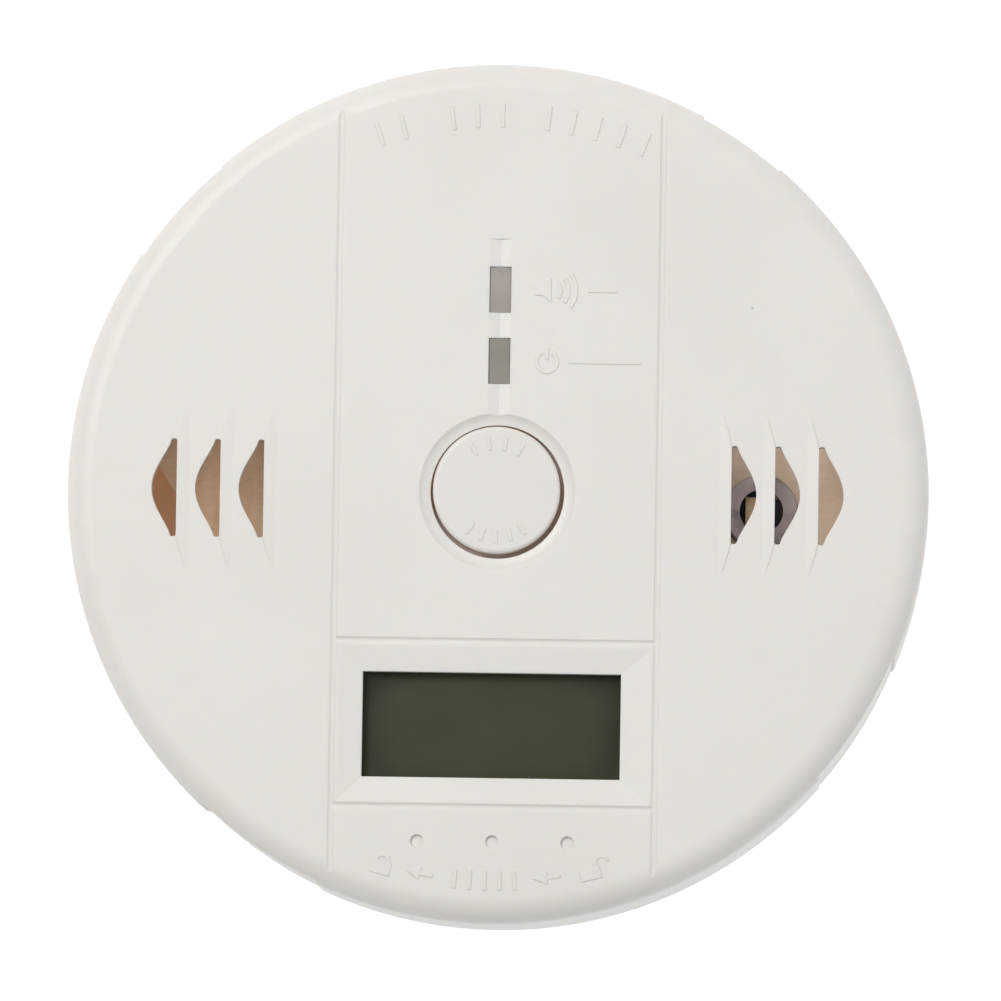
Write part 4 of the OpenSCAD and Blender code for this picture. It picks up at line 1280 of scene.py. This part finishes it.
@dataclass
class BatteryPack(Part):
    """Three cells with their skins, springs, contacts and wires."""

    cell_radius: float = 7.1 * MM
    cap_radius: float = 2.75 * MM
    cap_height: float = 1.0 * MM
    spring: ConicalSpring = ConicalSpring()
    spring_play: float = 0.02 * MM

    def build(self) -> None:
        """Makes and dresses the group's pieces."""
        self.wear(Finish.CELL_SKIN, "battery_wrappers")
        self.wear(Finish.NICKEL, "contact_plus", "contact_minus", "contact_links")
        self.wear(Finish.RED, "wire_plus")
        self.wear(Finish.DARK, "wire_minus")
        for number, cap_up in ((1, True), (2, False), (3, True)):
            self.build_cell(number, cap_up)
        self.build_springs()

    def build_cell(self, number: int, cap_up: bool) -> None:
        """Turned steel can with a rolled shoulder, a cap and a vented crimp.

        Args:
            number: the cell's number from the left.
            cap_up: whether its cap points up the wall.
        """
        low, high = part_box(f"battery_{number}")
        length = high.y - low.y
        r, cap, rise = self.cell_radius, self.cap_radius, self.cap_height
        corners = [(0, 0.35 * MM, 0), (r - 2.2 * MM, 0.35 * MM, 0.3 * MM),
                   (r - 1.6 * MM, 0, 0.3 * MM),
                   (r, 0, 0.7 * MM), (r, length - rise, 0.8 * MM),
                   (r - 1.5 * MM, length - rise, 0.2 * MM),
                   (r - 1.7 * MM, length - rise - 0.35 * MM, 0.1 * MM),
                   (cap + 0.5 * MM, length - rise - 0.25 * MM, 0.2 * MM),
                   (cap, length - rise, 0.25 * MM), (cap - 0.1 * MM, length, 0.4 * MM),
                   (0, length, 0)]
        mesh = lathe(rounded_profile(corners), 64)
        centre = (low + high) / 2
        angle, start = (-math.pi / 2, low.y) if cap_up else (math.pi / 2, high.y)
        turn = Matrix.Rotation(angle, 4, "X")
        mesh.transform(Matrix.Translation((centre.x, start, centre.z)) @ turn)
        self.add(f"cell_{number}", mesh, Finish.NICKEL, "cell_steel", [f"battery_{number}"])

    def build_springs(self) -> None:
        """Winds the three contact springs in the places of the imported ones."""
        low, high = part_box("contact_springs")
        wire = self.spring.wire
        cells = {number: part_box(f"battery_{number}") for number in (1, 2, 3)}
        middles = {number: (box[0] + box[1]) / 2 for number, box in cells.items()}
        height = (high.y - cells[2][1].y) - 2 * wire - self.spring_play
        places = ((2, high.y - wire, 1), (1, low.y + wire, -1), (3, low.y + wire, -1))
        spots = [(middles[number].x, y, middles[2].z) for number, y, _ in places]
        turns = [side * math.pi / 2 for _, _, side in places]
        mesh = self.spring.wind(Finish.NICKEL, height, spots, turns)
        self.add("springs", mesh, Finish.NICKEL, "spring_metal", ["contact_springs"])


# ---- Stage ----


@dataclass(frozen=True)
class Lamp:
    """A soft rectangular light."""

    name: str
    place: Point
    target: Point
    size: tuple[float, float]
    power: float
    colour: Colour
    seen: bool = True

    def hang(self) -> None:
        """Adds the light, which the camera doesn't see."""
        data = bpy.data.lights.new(self.name, "AREA")
        data.shape = "RECTANGLE"
        data.size, data.size_y = self.size
        data.energy, data.color = self.power, self.colour
        lamp = bpy.data.objects.new(self.name, data)
        bpy.context.scene.collection.objects.link(lamp)
        lamp.location = self.place
        lamp.rotation_mode = "QUATERNION"
        aim = Vector(self.target) - Vector(self.place)
        lamp.rotation_quaternion = aim.to_track_quat("-Z", "Y")
        lamp.visible_camera = False
        lamp.visible_glossy = self.seen


@dataclass
class Studio:
    """Floor, soft light and camera."""

    distance: float = 1.4
    frame_width: float = 115.93 * MM
    below: float = 3.95
    right: float = 1.5
    roll: float = 0.9
    aim: Point = (0.39 * MM, -1.02 * MM, 38.25 * MM)
    floor_half: float = 6.0
    floor_gap: float = 0.3 * MM
    floor_glow: float = 0.92
    sky_colour: Colour = (1.0, 0.995, 0.985)
    sky_strength: float = 0.36
    lamps: tuple[Lamp, ...] = (
        Lamp("key", (-0.40, 0.38, 1.0), (0, 0, 0.02), (0.55, 0.45), 7.9, (1.0, 0.985, 0.965)),
        Lamp("fill", (0.72, 0.05, 0.70), (0, 0, 0.02), (0.8, 0.8), 2.0, (0.97, 0.98, 1.0)),
    )
    inner_depth: float = 2.8 * MM
    inner_size: tuple[float, float] = (16 * MM, 26 * MM)
    inner_lamps: tuple[tuple[str, float, float, Colour], ...] = (
        ("glow_left", -33 * MM, 0.0013, (1.0, 0.93, 0.91)),
        ("glow_right", 33 * MM, 0.0031, (0.80, 0.88, 1.0)),
    )

    def build(self) -> None:
        """Sets the stage."""
        self.build_floor()
        self.build_lights()
        self.build_camera()
        view = bpy.context.scene.view_settings
        view.view_transform = "Standard"
        view.look = "None"
        view.exposure = 0.0

    def build_floor(self) -> None:
        """Plain white floor just under the detector, clear when seen from below."""
        work = bmesh.new()
        bmesh.ops.create_grid(work, x_segments=4, y_segments=4, size=self.floor_half)
        bmesh.ops.translate(work, verts=work.verts, vec=(0.0, 0.0, -self.floor_gap))
        sheet = mesh_of(work, False)
        sheet.flip_normals()
        floor = new_object("floor", sheet)
        s = Shader("floor_white")
        cloud = s.noise(s.place(), 0.4, 2.0)
        floor.data.materials.append(
            s.finish(
                base_color=s.mix((0.21, 0.21, 0.21), (0.19, 0.19, 0.19), cloud),
                roughness=0.9,
                emission_color=(1.0, 1.0, 1.0),
                emission_strength=self.floor_glow,
            )
        )
        s.open_behind()
        log.info("floor laid")

    def build_lights(self) -> None:
        """Soft light from above and upper left, and the glow that comes through the cover."""
        world = bpy.data.worlds.new("studio")
        bpy.context.scene.world = world
        world.use_nodes = True
        background = world.node_tree.nodes["Background"]
        background.inputs["Color"].default_value = (*self.sky_colour, 1.0)
        background.inputs["Strength"].default_value = self.sky_strength
        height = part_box("front_cover")[1].z - self.inner_depth
        inner = [
            Lamp(name, (x, 0, height), (x, 0, 0), self.inner_size, power, colour, False)
            for name, x, power, colour in self.inner_lamps
        ]
        for lamp in (*self.lamps, *inner):
            lamp.hang()
        log.info("lights set")

    def build_camera(self) -> None:
        """Camera that faces the front, a little below and to the right of the axis."""
        data = bpy.data.cameras.new("camera")
        data.sensor_width = 36.0
        data.lens = 36.0 * self.distance / self.frame_width
        data.clip_start, data.clip_end = 0.01, 20.0
        camera = bpy.data.objects.new("camera", data)
        bpy.context.scene.collection.objects.link(camera)
        down, over = math.radians(self.below), math.radians(self.right)
        back = Vector((
            math.sin(over) * math.cos(down), -math.sin(down), math.cos(over) * math.cos(down)
        ))
        across = Vector((0, 1, 0)).cross(back).normalized()
        up = back.cross(across)
        basis = Matrix((across, up, back)).transposed()
        turn = Matrix.Rotation(math.radians(self.roll), 3, back)
        camera.matrix_world = Matrix.Translation(
            Vector(self.aim) + back * self.distance
        ) @ (turn @ basis).to_4x4()
        bpy.context.scene.camera = camera
        log.info("camera placed")


def corners(box: tuple[Vector, Vector]) -> list[list[float]]:
    """A box's two corners as plain lists."""
    return [list(box[0]), list(box[1])]


def main() -> None:
    """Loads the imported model, dresses and refines it, and sets the stage."""
    logging.basicConfig(level=logging.INFO, format="%(name)s: %(message)s")
    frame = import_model()
    nodes = frame["nodes"]
    groups: list[type[Part]] = [
        Housing, Button, Display, Indicators, GasSensor, Sounder, BoardAssembly, BatteryPack,
    ]
    for make in groups:
        part = make(nodes)
        part.build()
        log.info("%s done", type(part).__name__)
    Studio().build()


if __name__ == "__main__":
    main()
